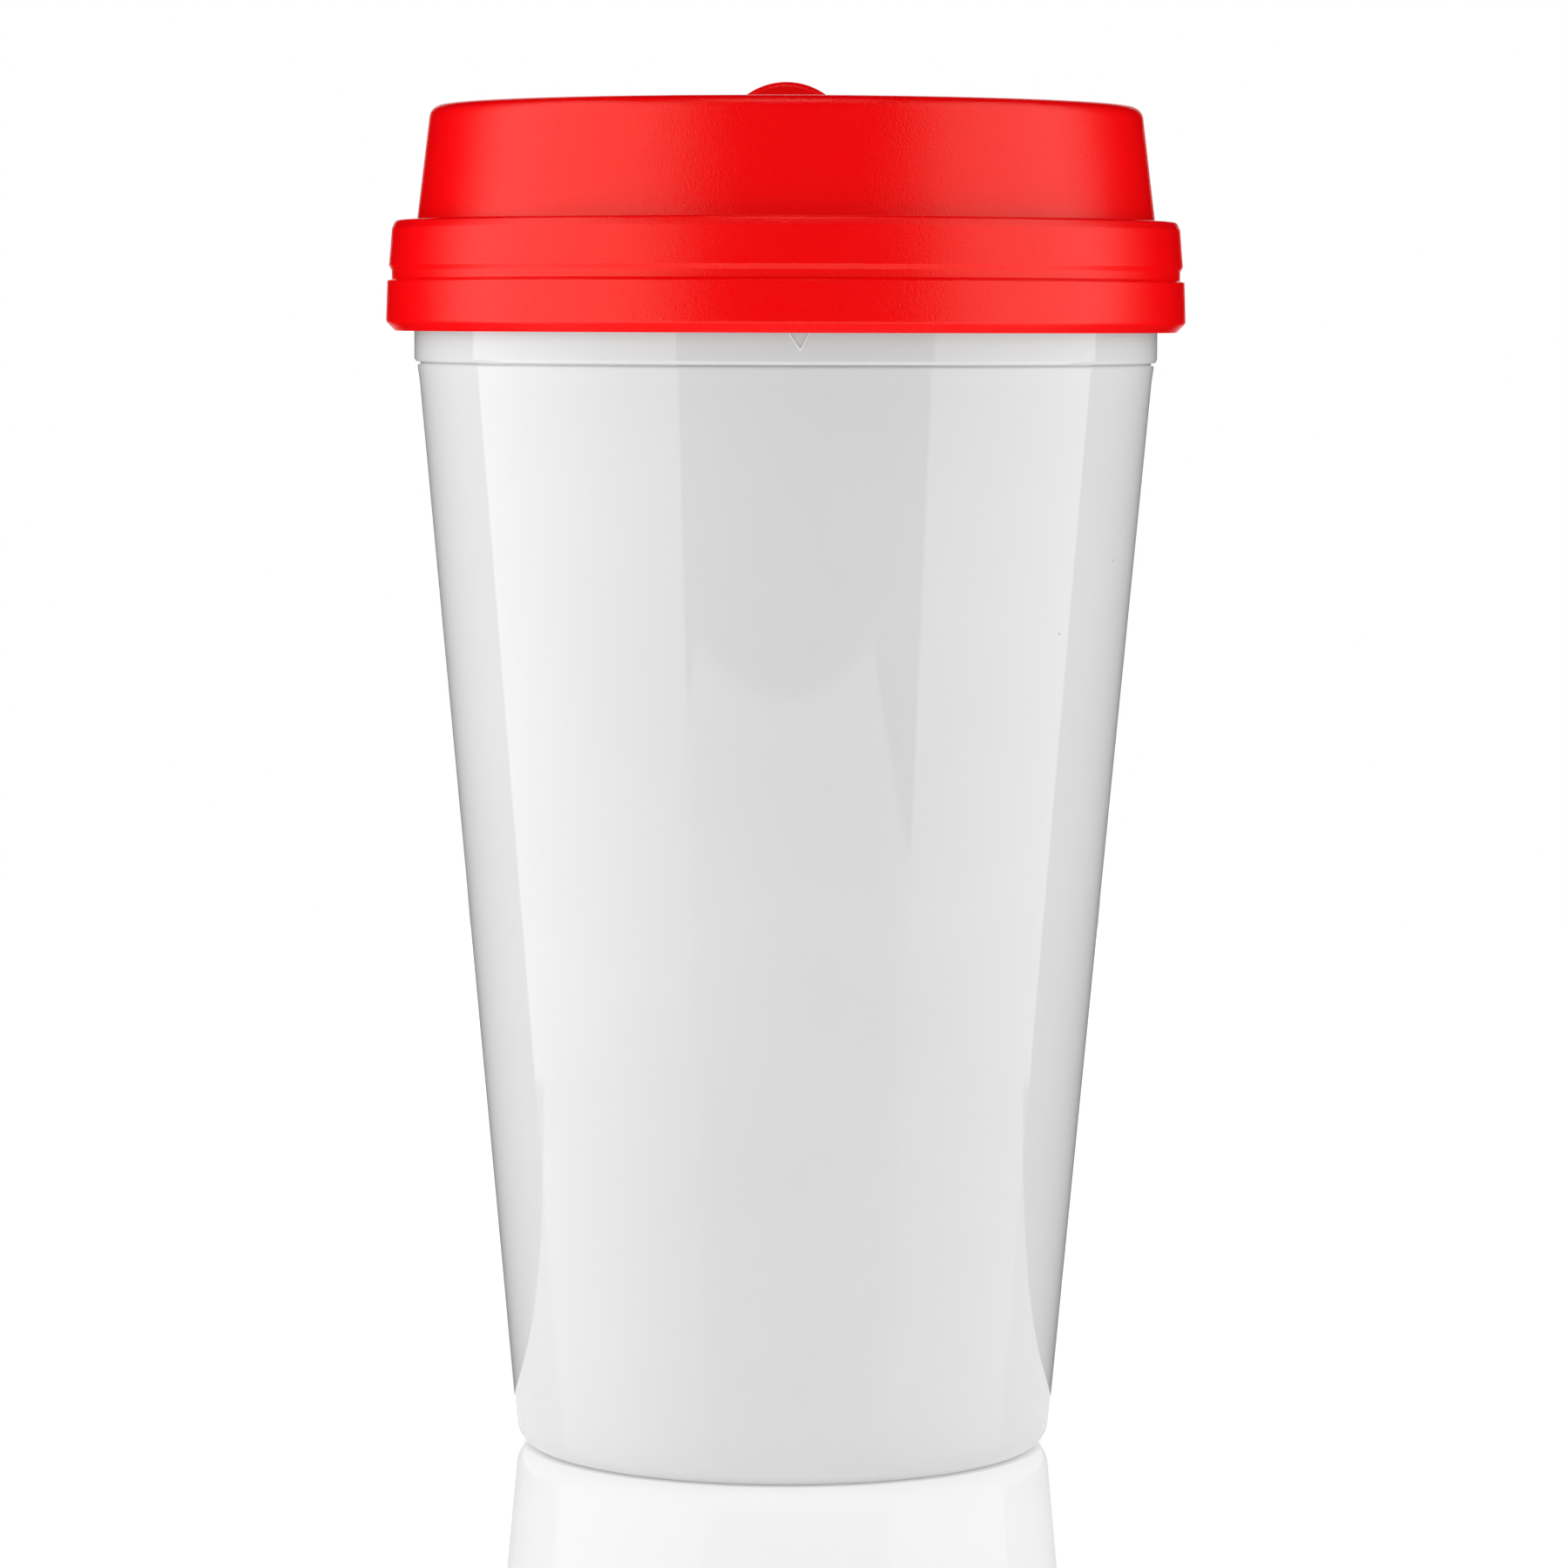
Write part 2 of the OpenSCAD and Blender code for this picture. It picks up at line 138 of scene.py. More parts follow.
class TumblerThread(PropertyGroup):
    """Sizes of the two-start thread on the neck and in the lid"""

    lead: length("Lead", "Rise of the lid in one turn", 6 * MM)
    starts: IntProperty(name="Starts", description="Number of thread starts", default=2)
    steps: IntProperty(name="Steps", description="Faces of a thread in one turn", default=96)
    fade: IntProperty(name="Fade", description="Steps in which a thread fades out", default=7)
    depth: length("Depth", "Height of the neck's thread", 1.4 * MM)
    root_w: length("Root", "Width of the neck's thread at its root", 1.6 * MM)
    crest_w: length("Crest", "Width of the neck's thread at its crest", 0.8 * MM)
    lid_root_w: length("Lid root", "Width of the lid's thread at its root", 1.5 * MM)
    lid_crest_w: length("Lid crest", "Width of the lid's thread at its crest", 0.7 * MM)
    crest_gap: length("Crest gap", "Clearance between a crest and the wall it faces", 0.35 * MM)
    bore_gap: length("Bore gap", "Extra room behind the neck's thread", 0.4 * MM)
    flank_gap: length("Flank gap", "Clearance between the bearing flanks", 0.22 * MM)
    rise: length("Rise", "Space between the collar and the lowest thread", 1.3 * MM)
    turns: share("Turns", "Part of a turn that each neck thread runs", 0.78)
    lid_turns: share("Lid turns", "Part of a turn that each lid thread runs", 0.6)


class TumblerSeal(PropertyGroup):
    """Sizes of the seal ring"""

    outer_r: length("Outer radius", "Outer radius of the ring", SEAL_HIGH.x)
    inner_r: length("Inner radius", "Radius of the ring's hole", 39.6 * MM)
    edge: length("Edge", "Rounding of the ring's edges", 0.35 * MM)


class TumblerLid(PropertyGroup):
    """Sizes of the screw lid"""

    low_z: length("Lower edge", "Height of the skirt's lower edge", LID_LOW.z)
    rim_z: length("Rim", "Height of the rim", LID_HIGH.z)
    skirt_r: length("Skirt radius", "Radius of the skirt at its widest", LID_HIGH.x)
    skirt_wall: length("Skirt wall", "Thickness of the skirt", 1.87 * MM)
    skirt_bevel: length("Skirt bevel", "Bevel of the skirt's lower edge", 1.05 * MM)
    lower_lean: length("Lower lean", "How much narrower the lower band is at its top", 0.15 * MM)
    band_step: length("Band step", "Step from the lower band in to the upper band", 0.2 * MM)
    upper_lean: length("Upper lean", "How much narrower the upper band is at its top", 0.33 * MM)
    upper_h: length("Upper band", "Height of the upper band", 5.06 * MM)
    groove_slope: length("Groove slope", "Height of the slope down into the groove", 0.55 * MM)
    groove_flat: length("Groove flat", "Height of the groove's bottom", 0.85 * MM)
    groove_depth: length("Groove depth", "Depth of the groove", 0.3 * MM)
    groove_step: length("Groove step", "Height of the step out to the lower band", 0.32 * MM)
    seam: length("Seam", "Width of the fine seam under the groove", 0.12 * MM)
    ledge_z: length("Ledge", "Height of the ledge", 138.68 * MM)
    ledge_t: length("Ledge thickness", "Thickness of the ledge over the seal", 1.28 * MM)
    ledge_bevel_w: length("Ledge bevel width", "Width of the ledge's bevel", 0.42 * MM)
    ledge_bevel_h: length("Ledge bevel height", "Height of the ledge's bevel", 0.95 * MM)
    ledge_edge: length("Ledge edge", "Rounding between the ledge and its bevel", 0.45 * MM)
    ledge_w: length("Ledge width", "Width of the ledge inside its bevel", 2.4 * MM)
    top_lean: length("Top lean", "How much narrower the top wall is at the rim", 1.57 * MM)
    top_wall: length("Top wall", "Thickness of the top wall", 1.7 * MM)
    rim_w: length("Rim width", "Width of the rim", 1.75 * MM)
    rim_outer: length("Rim outer rounding", "Rounding of the rim's outer edge", 1.42 * MM)
    rim_inner: length("Rim inner rounding", "Rounding of the rim's inner edge", 0.4 * MM)
    deck_drop: length("Deck drop", "Depth of the deck below the rim", 7.1 * MM)
    deck_t: length("Deck", "Thickness of the deck", 1.6 * MM)
    recess_lean: length("Recess lean", "How much narrower the recess is at the deck", 0.4 * MM)
    edge: length("Edges", "Rounding of the lid's fine edges", 0.12 * MM)
    hole_w: length("Hole width", "Width of the drinking hole", 14 * MM)
    hole_l: length("Hole length", "Length of the drinking hole, front to back", 7 * MM)
    hole_edge: length("Hole place", "Distance of the hole from the recess wall", 4.4 * MM)
    vent_d: length("Vent", "Diameter of the vent hole", 2.2 * MM)
    vent_edge: length("Vent place", "Distance of the vent hole from the recess wall", 8.5 * MM)
    rail_w: length("Rail", "Width of each rail", 1.6 * MM)
    rail_edge: length("Rail place", "Distance of the rails' ends from the recess wall", 8.2 * MM)
    lip_w: length("Lip", "How far each rail's lip reaches over the plate", 1.2 * MM)
    lip_t: length("Lip thickness", "Thickness of each rail's lip", 0.9 * MM)
    soft_edge: length("Soft edge", "Rounding of the rails and holes", 0.25 * MM)


class TumblerSlide(PropertyGroup):
    """Sizes of the slide closure"""

    plate_lap: length("Lap", "How far the plate covers beyond the hole", 3 * MM)
    plate_t: length("Plate", "Thickness of the plate", 1.8 * MM)
    tail: length("Tail", "Length of the plate behind the middle", SLIDER_HIGH.y)
    corner: length("Corner", "Rounding of the plate's rear corners", 1.5 * MM)
    edge: length("Edge", "Rounding of the plate's edges", 0.3 * MM)
    end_gap: length("End gap", "Clearance in front of the plate", 0.5 * MM)
    gap: length("Gap", "Clearance all round the plate", 0.15 * MM)
    open_margin: length("Open margin", "How far the open plate stands behind the hole", 0.3 * MM)
    tab_r: length("Tab radius", "Radius of the thumb tab", 7.66 * MM)
    tab_rise: length("Tab rise", "Height of the tab's centre above the plate", 0.25 * MM)
    tab_t: length("Tab thickness", "Thickness of the thumb tab", 2.6 * MM)
    tab_bevel: length("Tab bevel", "Bevel round the tab's two faces", 0.5 * MM)
    tab_edge: length("Tab edge", "Rounding of the bevel's own edges", 0.05 * MM)
    tab_foot: length("Tab foot", "Fillet at the foot of the tab", 0.35 * MM)


class TumblerFinish(PropertyGroup):
    """Colours and surface values"""

    white: colour("White", "Colour of the cup's plastic", (0.72, 0.72, 0.72))
    red: colour("Red", "Colour of the lid's plastic", (0.985, 0.0, 0.002))
    seal: colour("Seal", "Colour of the seal ring", (0.62, 0.64, 0.63))
    dust: colour("Dust", "Colour of the specks of dust", (0.3, 0.3, 0.3))
    gloss: share("Gloss", "Roughness of the cup's plastic", 0.045)
    satin: share("Satin", "Roughness of the lid's plastic", 0.2)
    rubber: share("Rubber", "Roughness of the seal ring", 0.5)
    grain: length("Grain", "Width of the lid's moulded grain", 0.22 * MM)
    grain_depth: length("Grain depth", "Depth of the lid's moulded grain", 0.05 * MM)


class TumblerStage(PropertyGroup):
    """Camera, lamps and floor"""

    distance: length("Distance", "Distance of the camera from the cup's axis", 705.65 * MM)
    height: length("Height", "Height of the camera above the floor", 128.14 * MM)
    aside: length("Aside", "How far the camera stands to the left", 0.05 * MM)
    pitch: share("Pitch", "How far the camera looks down, in degrees", 4.297)
    roll: share("Roll", "How far the camera leans to its left, in degrees", 0.17)
    lens: FloatProperty(name="Lens", description="Focal length", default=143.18, unit="CAMERA")
    panel_reach: length("Panels", "Distance of the two side panels from the axis", 0.45)
    panel_low: length("Panels' lower edge", "Height of the side panels' lower edge", -0.3)
    panel_high: length("Panels' upper edge", "Height of the side panels' upper edge", 0.75)
    left_from: share("Left from", "Direction of the left panel's front edge, in degrees", 32.5)
    left_to: share("Left to", "Direction of the left panel's rear edge, in degrees", 107.3)
    left_light: share("Left light", "Brightness of the left panel", 1.51)
    right_from: share("Right from", "Direction of the right panel's front edge, in degrees", 44.5)
    right_to: share("Right to", "Direction of the right panel's rear edge, in degrees", 105.8)
    right_light: share("Right light", "Brightness of the right panel", 1.425)
    top_front: length("Top front", "How far the panel above stands in front of the axis", 0.25)
    top_w: length("Top width", "Width of the panel above", 0.34)
    top_d: length("Top depth", "Depth of the panel above, front to back", 0.26)
    top_light: share("Top light", "Brightness of the panel above", 1.9)
    ambient: share("Ambient", "Even light from all round the horizon and from below", 0.412)
    ambient_up: share("Ambient above", "Even light from straight above", 0.03)
    back_y: length("Backdrop", "Distance of the backdrop behind the cup", 1.2)
    back_half: share("Backdrop width", "Half the backdrop's width in degrees, from the cup", 11.7)
    back_light: share("Back light", "Brightness of the backdrop", 1.1)
    table_glow: share("Table glow", "Extra brightness of the table for all but the camera", 0.604)
    table_white: share("Table white", "Extra brightness of the table for the camera", 0.56)
    # Painted contact shadow: for the camera, the table is darker in a thin line round the foot
    contact_near: length("Contact line", "Width of the dark line round the foot", 2.5 * MM)
    white_from: length("White table", "Radius past which the table turns fully white for the camera", 80 * MM)
    white_to: length("White table end", "Radius at which the table is fully white for the camera", 125 * MM)
    near_from: length("Near shade", "Radius within which the lid's underside mirrors a shaded table", 90 * MM)
    near_to: length("Near shade end", "Radius beyond which it mirrors the table in full light", 180 * MM)
    near_shade: share("Near shade depth", "How much of the table's light the cup's shade takes there", 0.95)
    contact_far: length("Contact shade", "Width of the shade round the foot that the cup itself sees", 8 * MM)
    contact_dark: share("Contact depth", "Brightness of that shade at the foot, as a share of the table's", 0.45)
    table_lit: length("Lit table", "Distance behind the axis to which reflections show the table", 27 * MM)
    table_w: length("Table width", "Width of the table", 0.41)
    table_front: length("Table front", "Distance from the axis to the table's front edge", 0.385)
    table_back: length("Table back", "Distance from the axis to the table's rear edge", 0.6)


GROUPS = {
    "tumbler_shell": TumblerShell,
    "tumbler_liner": TumblerLiner,
    "tumbler_thread": TumblerThread,
    "tumbler_seal": TumblerSeal,
    "tumbler_lid": TumblerLid,
    "tumbler_slide": TumblerSlide,
    "tumbler_finish": TumblerFinish,
    "tumbler_stage": TumblerStage,
}


# Sizes that follow from the driving ones


def shell_lean():
    """Angle at which the shell's wall leans out."""
    s = bpy.context.scene.tumbler_shell
    return math.atan((s.top_r - s.base_r) / s.mouth_z)


def shell_radius(z):
    """Radius of the shell's outer wall at a height."""
    s = bpy.context.scene.tumbler_shell
    return s.base_r + (s.top_r - s.base_r) * z / s.mouth_z


def shell_inner_radius(z):
    """Radius of the shell's inner wall at a height."""
    return shell_radius(z) - bpy.context.scene.tumbler_shell.wall / math.cos(shell_lean())


def liner_radius(z):
    """Radius of the liner's outer wall at a height."""
    return shell_inner_radius(z) - bpy.context.scene.tumbler_liner.air_gap


def liner_inner_radius(z):
    """Radius of the liner's inner wall at a height."""
    return liner_radius(z) - bpy.context.scene.tumbler_liner.wall / math.cos(shell_lean())


def deck_height():
    """Height of the lid's deck."""
    lid = bpy.context.scene.tumbler_lid
    return lid.rim_z - lid.deck_drop


def top_foot_radius():
    """Radius of the lid's top wall where it stands on the ledge."""
    lid = bpy.context.scene.tumbler_lid
    upper_top_r = lid.skirt_r - lid.lower_lean - lid.band_step - lid.upper_lean
    return upper_top_r - lid.ledge_bevel_w - lid.ledge_w


def recess_radius():
    """Radius of the recess at the deck."""
    lid = bpy.context.scene.tumbler_lid
    return top_foot_radius() - lid.top_lean - lid.rim_w - lid.recess_lean


# Modelling steps


def start_clean():
    """Leaves edit mode and deselects everything."""
    if bpy.context.object and bpy.context.object.mode != "OBJECT":
        bpy.ops.object.mode_set(mode="OBJECT")
    bpy.ops.object.select_all(action="DESELECT")


def pick(piece):
    """Makes a piece the only one selected."""
    start_clean()
    piece.select_set(True)
    bpy.context.view_layer.objects.active = piece


def settle(name):
    """Names the new primitive and puts its place into its mesh."""
    piece = bpy.context.object
    piece.name = name
    piece.data.name = name
    bpy.ops.object.transform_apply(location=True, rotation=True, scale=True)
    return piece


def choose(mode, test):
    """In edit mode, selects the vertices, edges or faces that pass a test, and counts them."""
    bpy.ops.mesh.select_mode(type=mode)
    bpy.ops.mesh.select_all(action="DESELECT")
    mesh = bpy.context.object.data
    form = bmesh.from_edit_mesh(mesh)
    parts = {"VERT": form.verts, "EDGE": form.edges, "FACE": form.faces}[mode]
    chosen = [part for part in parts if test(part)]
    for part in chosen:
        part.select_set(True)
    form.select_flush_mode()
    bmesh.update_edit_mesh(mesh)
    return len(chosen)


def need(count, what):
    """Stops the piece if a selection came out empty."""
    if not count:
        raise RuntimeError(f"nothing was selected for {what}")


def tangent_length(before, corner, after, radius):
    """Distance from a corner to where its rounding starts, along both sides."""
    a = Vector(corner[:2]) - Vector(before[:2])
    b = Vector(after[:2]) - Vector(corner[:2])
    return radius * math.tan(a.angle(b) / 2)


def held_outline(corners):
    """Adds a point near both ends of each long side, so that the side is shaded straight."""
    starts = [0.0] * len(corners)
    for i in range(1, len(corners) - 1):
        if corners[i][2]:
            starts[i] = tangent_length(*corners[i - 1:i + 2], corners[i][2])
    outline = [corners[0]]
    for i, (a, b) in enumerate(zip(corners, corners[1:])):
        side = Vector(b[:2]) - Vector(a[:2])
        if side.length > starts[i] + starts[i + 1] + 4 * HOLD:
            along = side.normalized()
            near = Vector(a[:2]) + along * (starts[i] + HOLD)
            far = Vector(b[:2]) - along * (starts[i + 1] + HOLD)
            outline += [(*near, 0), (*far, 0)]
        outline.append(b)
    return outline


def draw_outline(name, corners, closed=False, round_steps=6):
    """Draws an outline in the XZ plane through corners of radius, height and rounding."""
    outline = held_outline(corners)
    start_clean()
    bpy.ops.mesh.primitive_plane_add(size=MM, location=(outline[0][0], 0, outline[0][1]))
    piece = settle(name)
    bpy.ops.object.mode_set(mode="EDIT")
    bpy.ops.mesh.select_mode(type="VERT")
    bpy.ops.mesh.select_all(action="SELECT")
    bpy.ops.mesh.merge(type="CENTER")
    for a, b in zip(outline, outline[1:]):
        bpy.ops.mesh.extrude_region_move(TRANSFORM_OT_translate={"value": (b[0] - a[0], 0, b[1] - a[1])})
    if closed:
        bpy.ops.mesh.select_all(action="SELECT")
        bpy.ops.mesh.remove_doubles(threshold=WELD)
    for i in range(1, len(outline) - 1):
        x, z, radius = outline[i]
        if not radius:
            continue
        place = Vector((x, 0, z))
        need(choose("VERT", lambda v: (v.co - place).length < WELD), f"a corner of {name}")
        bpy.ops.mesh.bevel(
            offset_type="OFFSET",
            offset=tangent_length(*outline[i - 1:i + 2], radius),
            segments=round_steps,
            affect="VERTICES",
            clamp_overlap=False,
        )
    return piece


def turn_outline():
    """Spins the outline round the upright axis and closes its seam and poles."""
    bpy.ops.mesh.select_all(action="SELECT")
    steps = bpy.context.scene.tumbler_shell.steps
    bpy.ops.mesh.spin(steps=steps, angle=math.tau, center=(0, 0, 0), axis=(0, 0, 1))
    bpy.ops.mesh.select_all(action="SELECT")
    bpy.ops.mesh.remove_doubles(threshold=WELD)


def face_outwards():
    """Turns all faces outwards and leaves edit mode."""
    bpy.ops.mesh.select_all(action="SELECT")
    bpy.ops.mesh.normals_make_consistent(inside=False)
    if bmesh.from_edit_mesh(bpy.context.object.data).calc_volume(signed=True) < 0:
        bpy.ops.mesh.flip_normals()
    bpy.ops.object.mode_set(mode="OBJECT")


def combine(piece, tool, operation):
    """Unites a piece with a tool body, or cuts the tool body out of it."""
    pick(piece)
    bpy.ops.object.modifier_add(type="BOOLEAN")
    modifier = piece.modifiers[-1]
    modifier.object = tool
    modifier.operation = operation
    modifier.solver = "EXACT"
    bpy.ops.object.modifier_apply(modifier=modifier.name)
    pick(tool)
    bpy.ops.object.delete()


def soften(piece, width, segments, test):
    """Rounds the edges of a piece that pass a test."""
    pick(piece)
    bpy.ops.object.mode_set(mode="EDIT")
    need(choose("EDGE", test), f"an edge of {piece.name}")
    bpy.ops.mesh.bevel(offset_type="OFFSET", offset=width, segments=segments, affect="EDGES")
    bpy.ops.object.mode_set(mode="OBJECT")


def finish_piece(piece, body, node, material):
    """Shades a piece, gives it its material and hands it to the frame."""
    pick(piece)
    bpy.ops.object.shade_smooth_by_angle(angle=SMOOTH_ANGLE)
    piece.data.materials.clear()
    piece.data.materials.append(material)
    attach(piece, body)
    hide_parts(node)
    start_clean()


def is_level(edge):
    """Whether both ends of an edge lie at one height."""
    return abs(edge.verts[0].co.z - edge.verts[1].co.z) < WELD


def is_across(edge):
    """Whether both ends of an edge lie at one distance from the front."""
    return abs(edge.verts[0].co.y - edge.verts[1].co.y) < WELD


def angle_of(vertex):
    """Direction of a vertex round the upright axis, from 0 to a full turn."""
    return math.atan2(vertex.co.y, vertex.co.x) % math.tau


def thread_ridge(name, root_r, crest_r, root_w, crest_w, z0, start, turns):
    """One thread: a trapezoid that climbs round the axis, buried at its root and faded at its ends."""
    t = bpy.context.scene.tumbler_thread
    steps = round(t.steps * turns)
    buried_r = root_r + (BITE if crest_r < root_r else -BITE)
    flare = (root_w - crest_w) * BITE / abs(crest_r - root_r)
    half = (root_w + flare) / 2
    low = z0 + t.lead * start / math.tau
    ridge = draw_outline(name, [
        (buried_r, low - half, 0),
        (crest_r, low - crest_w / 2, 0),
        (crest_r, low + crest_w / 2, 0),
        (buried_r, low + half, 0),
        (buried_r, low - half, 0),
    ], closed=True)
    bpy.ops.object.mode_set(mode="OBJECT")
    bpy.ops.object.modifier_add(type="SCREW")
    screw = ridge.modifiers[-1]
    screw.angle = math.tau * turns
    screw.screw_offset = t.lead * turns
    screw.steps = screw.render_steps = steps
    screw.use_merge_vertices = False
    bpy.ops.object.modifier_apply(modifier=screw.name)
    bpy.ops.object.mode_set(mode="EDIT")
    step = math.tau * turns / steps
    nearly = step / 4
    for end in (0, steps):
        at = end * step
        choose("VERT", lambda v: abs((angle_of(v) - at + math.pi) % math.tau - math.pi) < nearly)
        bpy.ops.mesh.edge_face_add()
    for i in range(t.fade):
        size = (i + 0.6) / t.fade
        faded_r = root_r + (crest_r - root_r) * size
        for at in (i * step, (steps - i) * step):
            choose("VERT", lambda v: (
                abs((angle_of(v) - at + math.pi) % math.tau - math.pi) < nearly
                and abs(v.co.xy.length - crest_r) < WELD
            ))
            factor = faded_r / crest_r
            bpy.ops.transform.resize(value=(factor, factor, 1), center_override=(0, 0, 0))
    bpy.ops.mesh.select_all(action="SELECT")
    bpy.ops.transform.rotate(value=-start, orient_axis="Z", center_override=(0, 0, 0))
    face_outwards()
    return ridge


def add_threads(piece, name, *sizes):
    """Unites a piece with its thread starts."""
    starts = bpy.context.scene.tumbler_thread.starts
    for i in range(starts):
        ridge = thread_ridge(f"{name}_{i}", *sizes)
        pick(ridge)
        bpy.ops.object.mode_set(mode="EDIT")
        bpy.ops.mesh.select_all(action="SELECT")
        bpy.ops.transform.rotate(value=math.tau * i / starts, orient_axis="Z", center_override=(0, 0, 0))
        bpy.ops.object.mode_set(mode="OBJECT")
        combine(piece, ridge, "UNION")


# Shared effects


def new_group(name, inputs, outputs):
    """An empty shader node group with named sockets."""
    group = bpy.data.node_groups.new(name, "ShaderNodeTree")
    for label, kind, default in inputs:
        socket = group.interface.new_socket(name=label, in_out="INPUT", socket_type=kind)
        if default is not None:
            socket.default_value = default
    for label, kind in outputs:
        group.interface.new_socket(name=label, in_out="OUTPUT", socket_type=kind)
    entry = group.nodes.new("NodeGroupInput")
    exit_node = group.nodes.new("NodeGroupOutput")
    return group, entry, exit_node


def node(tree, kind, inputs=None, **settings):
    """A node with its settings, each input either set to a value or linked from another node's output."""
    made = tree.nodes.new(kind)
    for key, value in settings.items():
        setattr(made, key, value)
    for key, value in (inputs or {}).items():
        if isinstance(value, bpy.types.NodeSocket):
            tree.links.new(value, made.inputs[key])
        else:
            made.inputs[key].default_value = value
    return made


def worked(tree, operation, a, b):
    """The result of a sum or a test on two values."""
    return node(tree, "ShaderNodeMath", {0: a, 1: b}, operation=operation).outputs[0]


def mixed(tree, factor, a, b):
    """A value that runs from one to another with the factor."""
    return node(tree, "ShaderNodeMix", {0: factor, 2: a, 3: b}, data_type="FLOAT").outputs[0]


def mixed_colour(tree, factor, a, b):
    """A colour that runs from one to another with the factor."""
    return node(tree, "ShaderNodeMix", {0: factor, 6: a, 7: b}, data_type="RGBA").outputs[2]


def ramp(tree, value, start, end, low, high):
    """A value that goes from low to high while another goes from start to end."""
    ends = {"Value": value, "From Min": start, "From Max": end, "To Min": low, "To Max": high}
    return node(tree, "ShaderNodeMapRange", ends).outputs["Result"]


def noise(tree, vector, scale, **inputs):
    """Soft noise at a scale, as a value around one half."""
    return node(tree, "ShaderNodeTexNoise", {"Vector": vector, "Scale": scale, **inputs}).outputs["Fac"]


def grain_group():
    """Fine moulded grain: soft pits and bumps of one width, with a finer tooth on them."""
    group, entry, exit_node = new_group(
        "moulded_grain",
        [
            ("Vector", "NodeSocketVector", None),
            ("Width", "NodeSocketFloat", 0.3 * MM),
            ("Tooth", "NodeSocketFloat", 0.3),
        ],
        [("Height", "NodeSocketFloat")],
    )
    finer_by = 2.7
    place = entry.outputs["Vector"]
    pitch = worked(group, "DIVIDE", 1.0, entry.outputs["Width"])
    coarse = noise(group, place, pitch, Detail=1.0, Roughness=0.5)
    fine = noise(group, place, worked(group, "MULTIPLY", pitch, finer_by), Detail=0.0)
    group.links.new(mixed(group, entry.outputs["Tooth"], coarse, fine), exit_node.inputs["Height"])
    return group


def mottle_group():
    """A slow, faint change between two values, as moulding and handling leave it."""
    group, entry, exit_node = new_group(
        "slow_mottle",
        [
            ("Vector", "NodeSocketVector", None),
            ("Width", "NodeSocketFloat", 20 * MM),
            ("Low", "NodeSocketFloat", 0.0),
            ("High", "NodeSocketFloat", 1.0),
        ],
        [("Value", "NodeSocketFloat")],
    )
    pitch = worked(group, "DIVIDE", 1.0, entry.outputs["Width"])
    clouds = noise(group, entry.outputs["Vector"], pitch, Detail=3.0, Roughness=0.55)
    spread = ramp(group, clouds, 0.3, 0.7, entry.outputs["Low"], entry.outputs["High"])
    group.links.new(spread, exit_node.inputs["Value"])
    return group


def dust_group():
    """Sparse tiny specks: one in some of the cells of a fine lattice."""
    group, entry, exit_node = new_group(
        "dust_specks",
        [
            ("Vector", "NodeSocketVector", None),
            ("Spacing", "NodeSocketFloat", 6 * MM),
            ("Size", "NodeSocketFloat", 0.02),
            ("Share", "NodeSocketFloat", 0.2),
        ],
        [("Mask", "NodeSocketFloat")],
    )
    pitch = worked(group, "DIVIDE", 1.0, entry.outputs["Spacing"])
    cells = node(group, "ShaderNodeTexVoronoi", {
        "Vector": entry.outputs["Vector"], "Scale": pitch, "Randomness": 1.0,
    })
    chance = node(group, "ShaderNodeSeparateColor", {"Color": cells.outputs["Color"]}).outputs["Red"]
    near = worked(group, "LESS_THAN", cells.outputs["Distance"], entry.outputs["Size"])
    picked = worked(group, "LESS_THAN", chance, entry.outputs["Share"])
    group.links.new(worked(group, "MULTIPLY", near, picked), exit_node.inputs["Mask"])
    return group


def effect(name):
    """A shared effect, built once."""
    makers = {"moulded_grain": grain_group, "slow_mottle": mottle_group, "dust_specks": dust_group}
    return bpy.data.node_groups.get(name) or makers[name]()


def place_effect(tree, name, vector, **inputs):
    """Puts a shared effect into a material with its own values, and gives its result."""
    return node(tree, "ShaderNodeGroup", {"Vector": vector, **inputs}, node_tree=effect(name)).outputs[0]


def moulded_material(name, shade, roughness, *, spread, ior, grain, depth, tooth, dust):
    """Moulded plastic or rubber: a mottled colour and roughness, its own grain, and a few specks of dust."""
    finish = bpy.context.scene.tumbler_finish
    tone_change = 0.015
    material = bpy.data.materials.new(name)
    material.use_nodes = True
    tree = material.node_tree
    shader = tree.nodes["Principled BSDF"]
    shader.inputs["IOR"].default_value = ior
    place = node(tree, "ShaderNodeTexCoord").outputs["Object"]
    tone = place_effect(tree, "slow_mottle", place, Width=30 * MM, Low=0.0, High=1.0)
    darker = (*[c * (1 - tone_change) for c in shade], 1)
    lighter = (*[min(c * (1 + tone_change), 1) for c in shade], 1)
    specks = place_effect(tree, "dust_specks", place, Share=dust)
    surface = mixed_colour(tree, specks, mixed_colour(tree, tone, darker, lighter), (*finish.dust, 1))
    tree.links.new(surface, shader.inputs["Base Color"])
    matt = place_effect(
        tree, "slow_mottle", place, Width=12 * MM, Low=roughness - spread, High=roughness + spread
    )
    tree.links.new(matt, shader.inputs["Roughness"])
    pits = place_effect(tree, "moulded_grain", place, Width=grain, Tooth=tooth)
    bump = node(tree, "ShaderNodeBump", {"Strength": 1.0, "Distance": depth, "Height": pits})
    tree.links.new(bump.outputs["Normal"], shader.inputs["Normal"])
    return material


def gloss_white(name):
    """High-gloss white plastic with a very faint waviness."""
    finish = bpy.context.scene.tumbler_finish
    return moulded_material(
        name, finish.white, finish.gloss, spread=0.012, ior=1.5,
        grain=4 * MM, depth=0.0012 * MM, tooth=0.1, dust=0.06,
    )


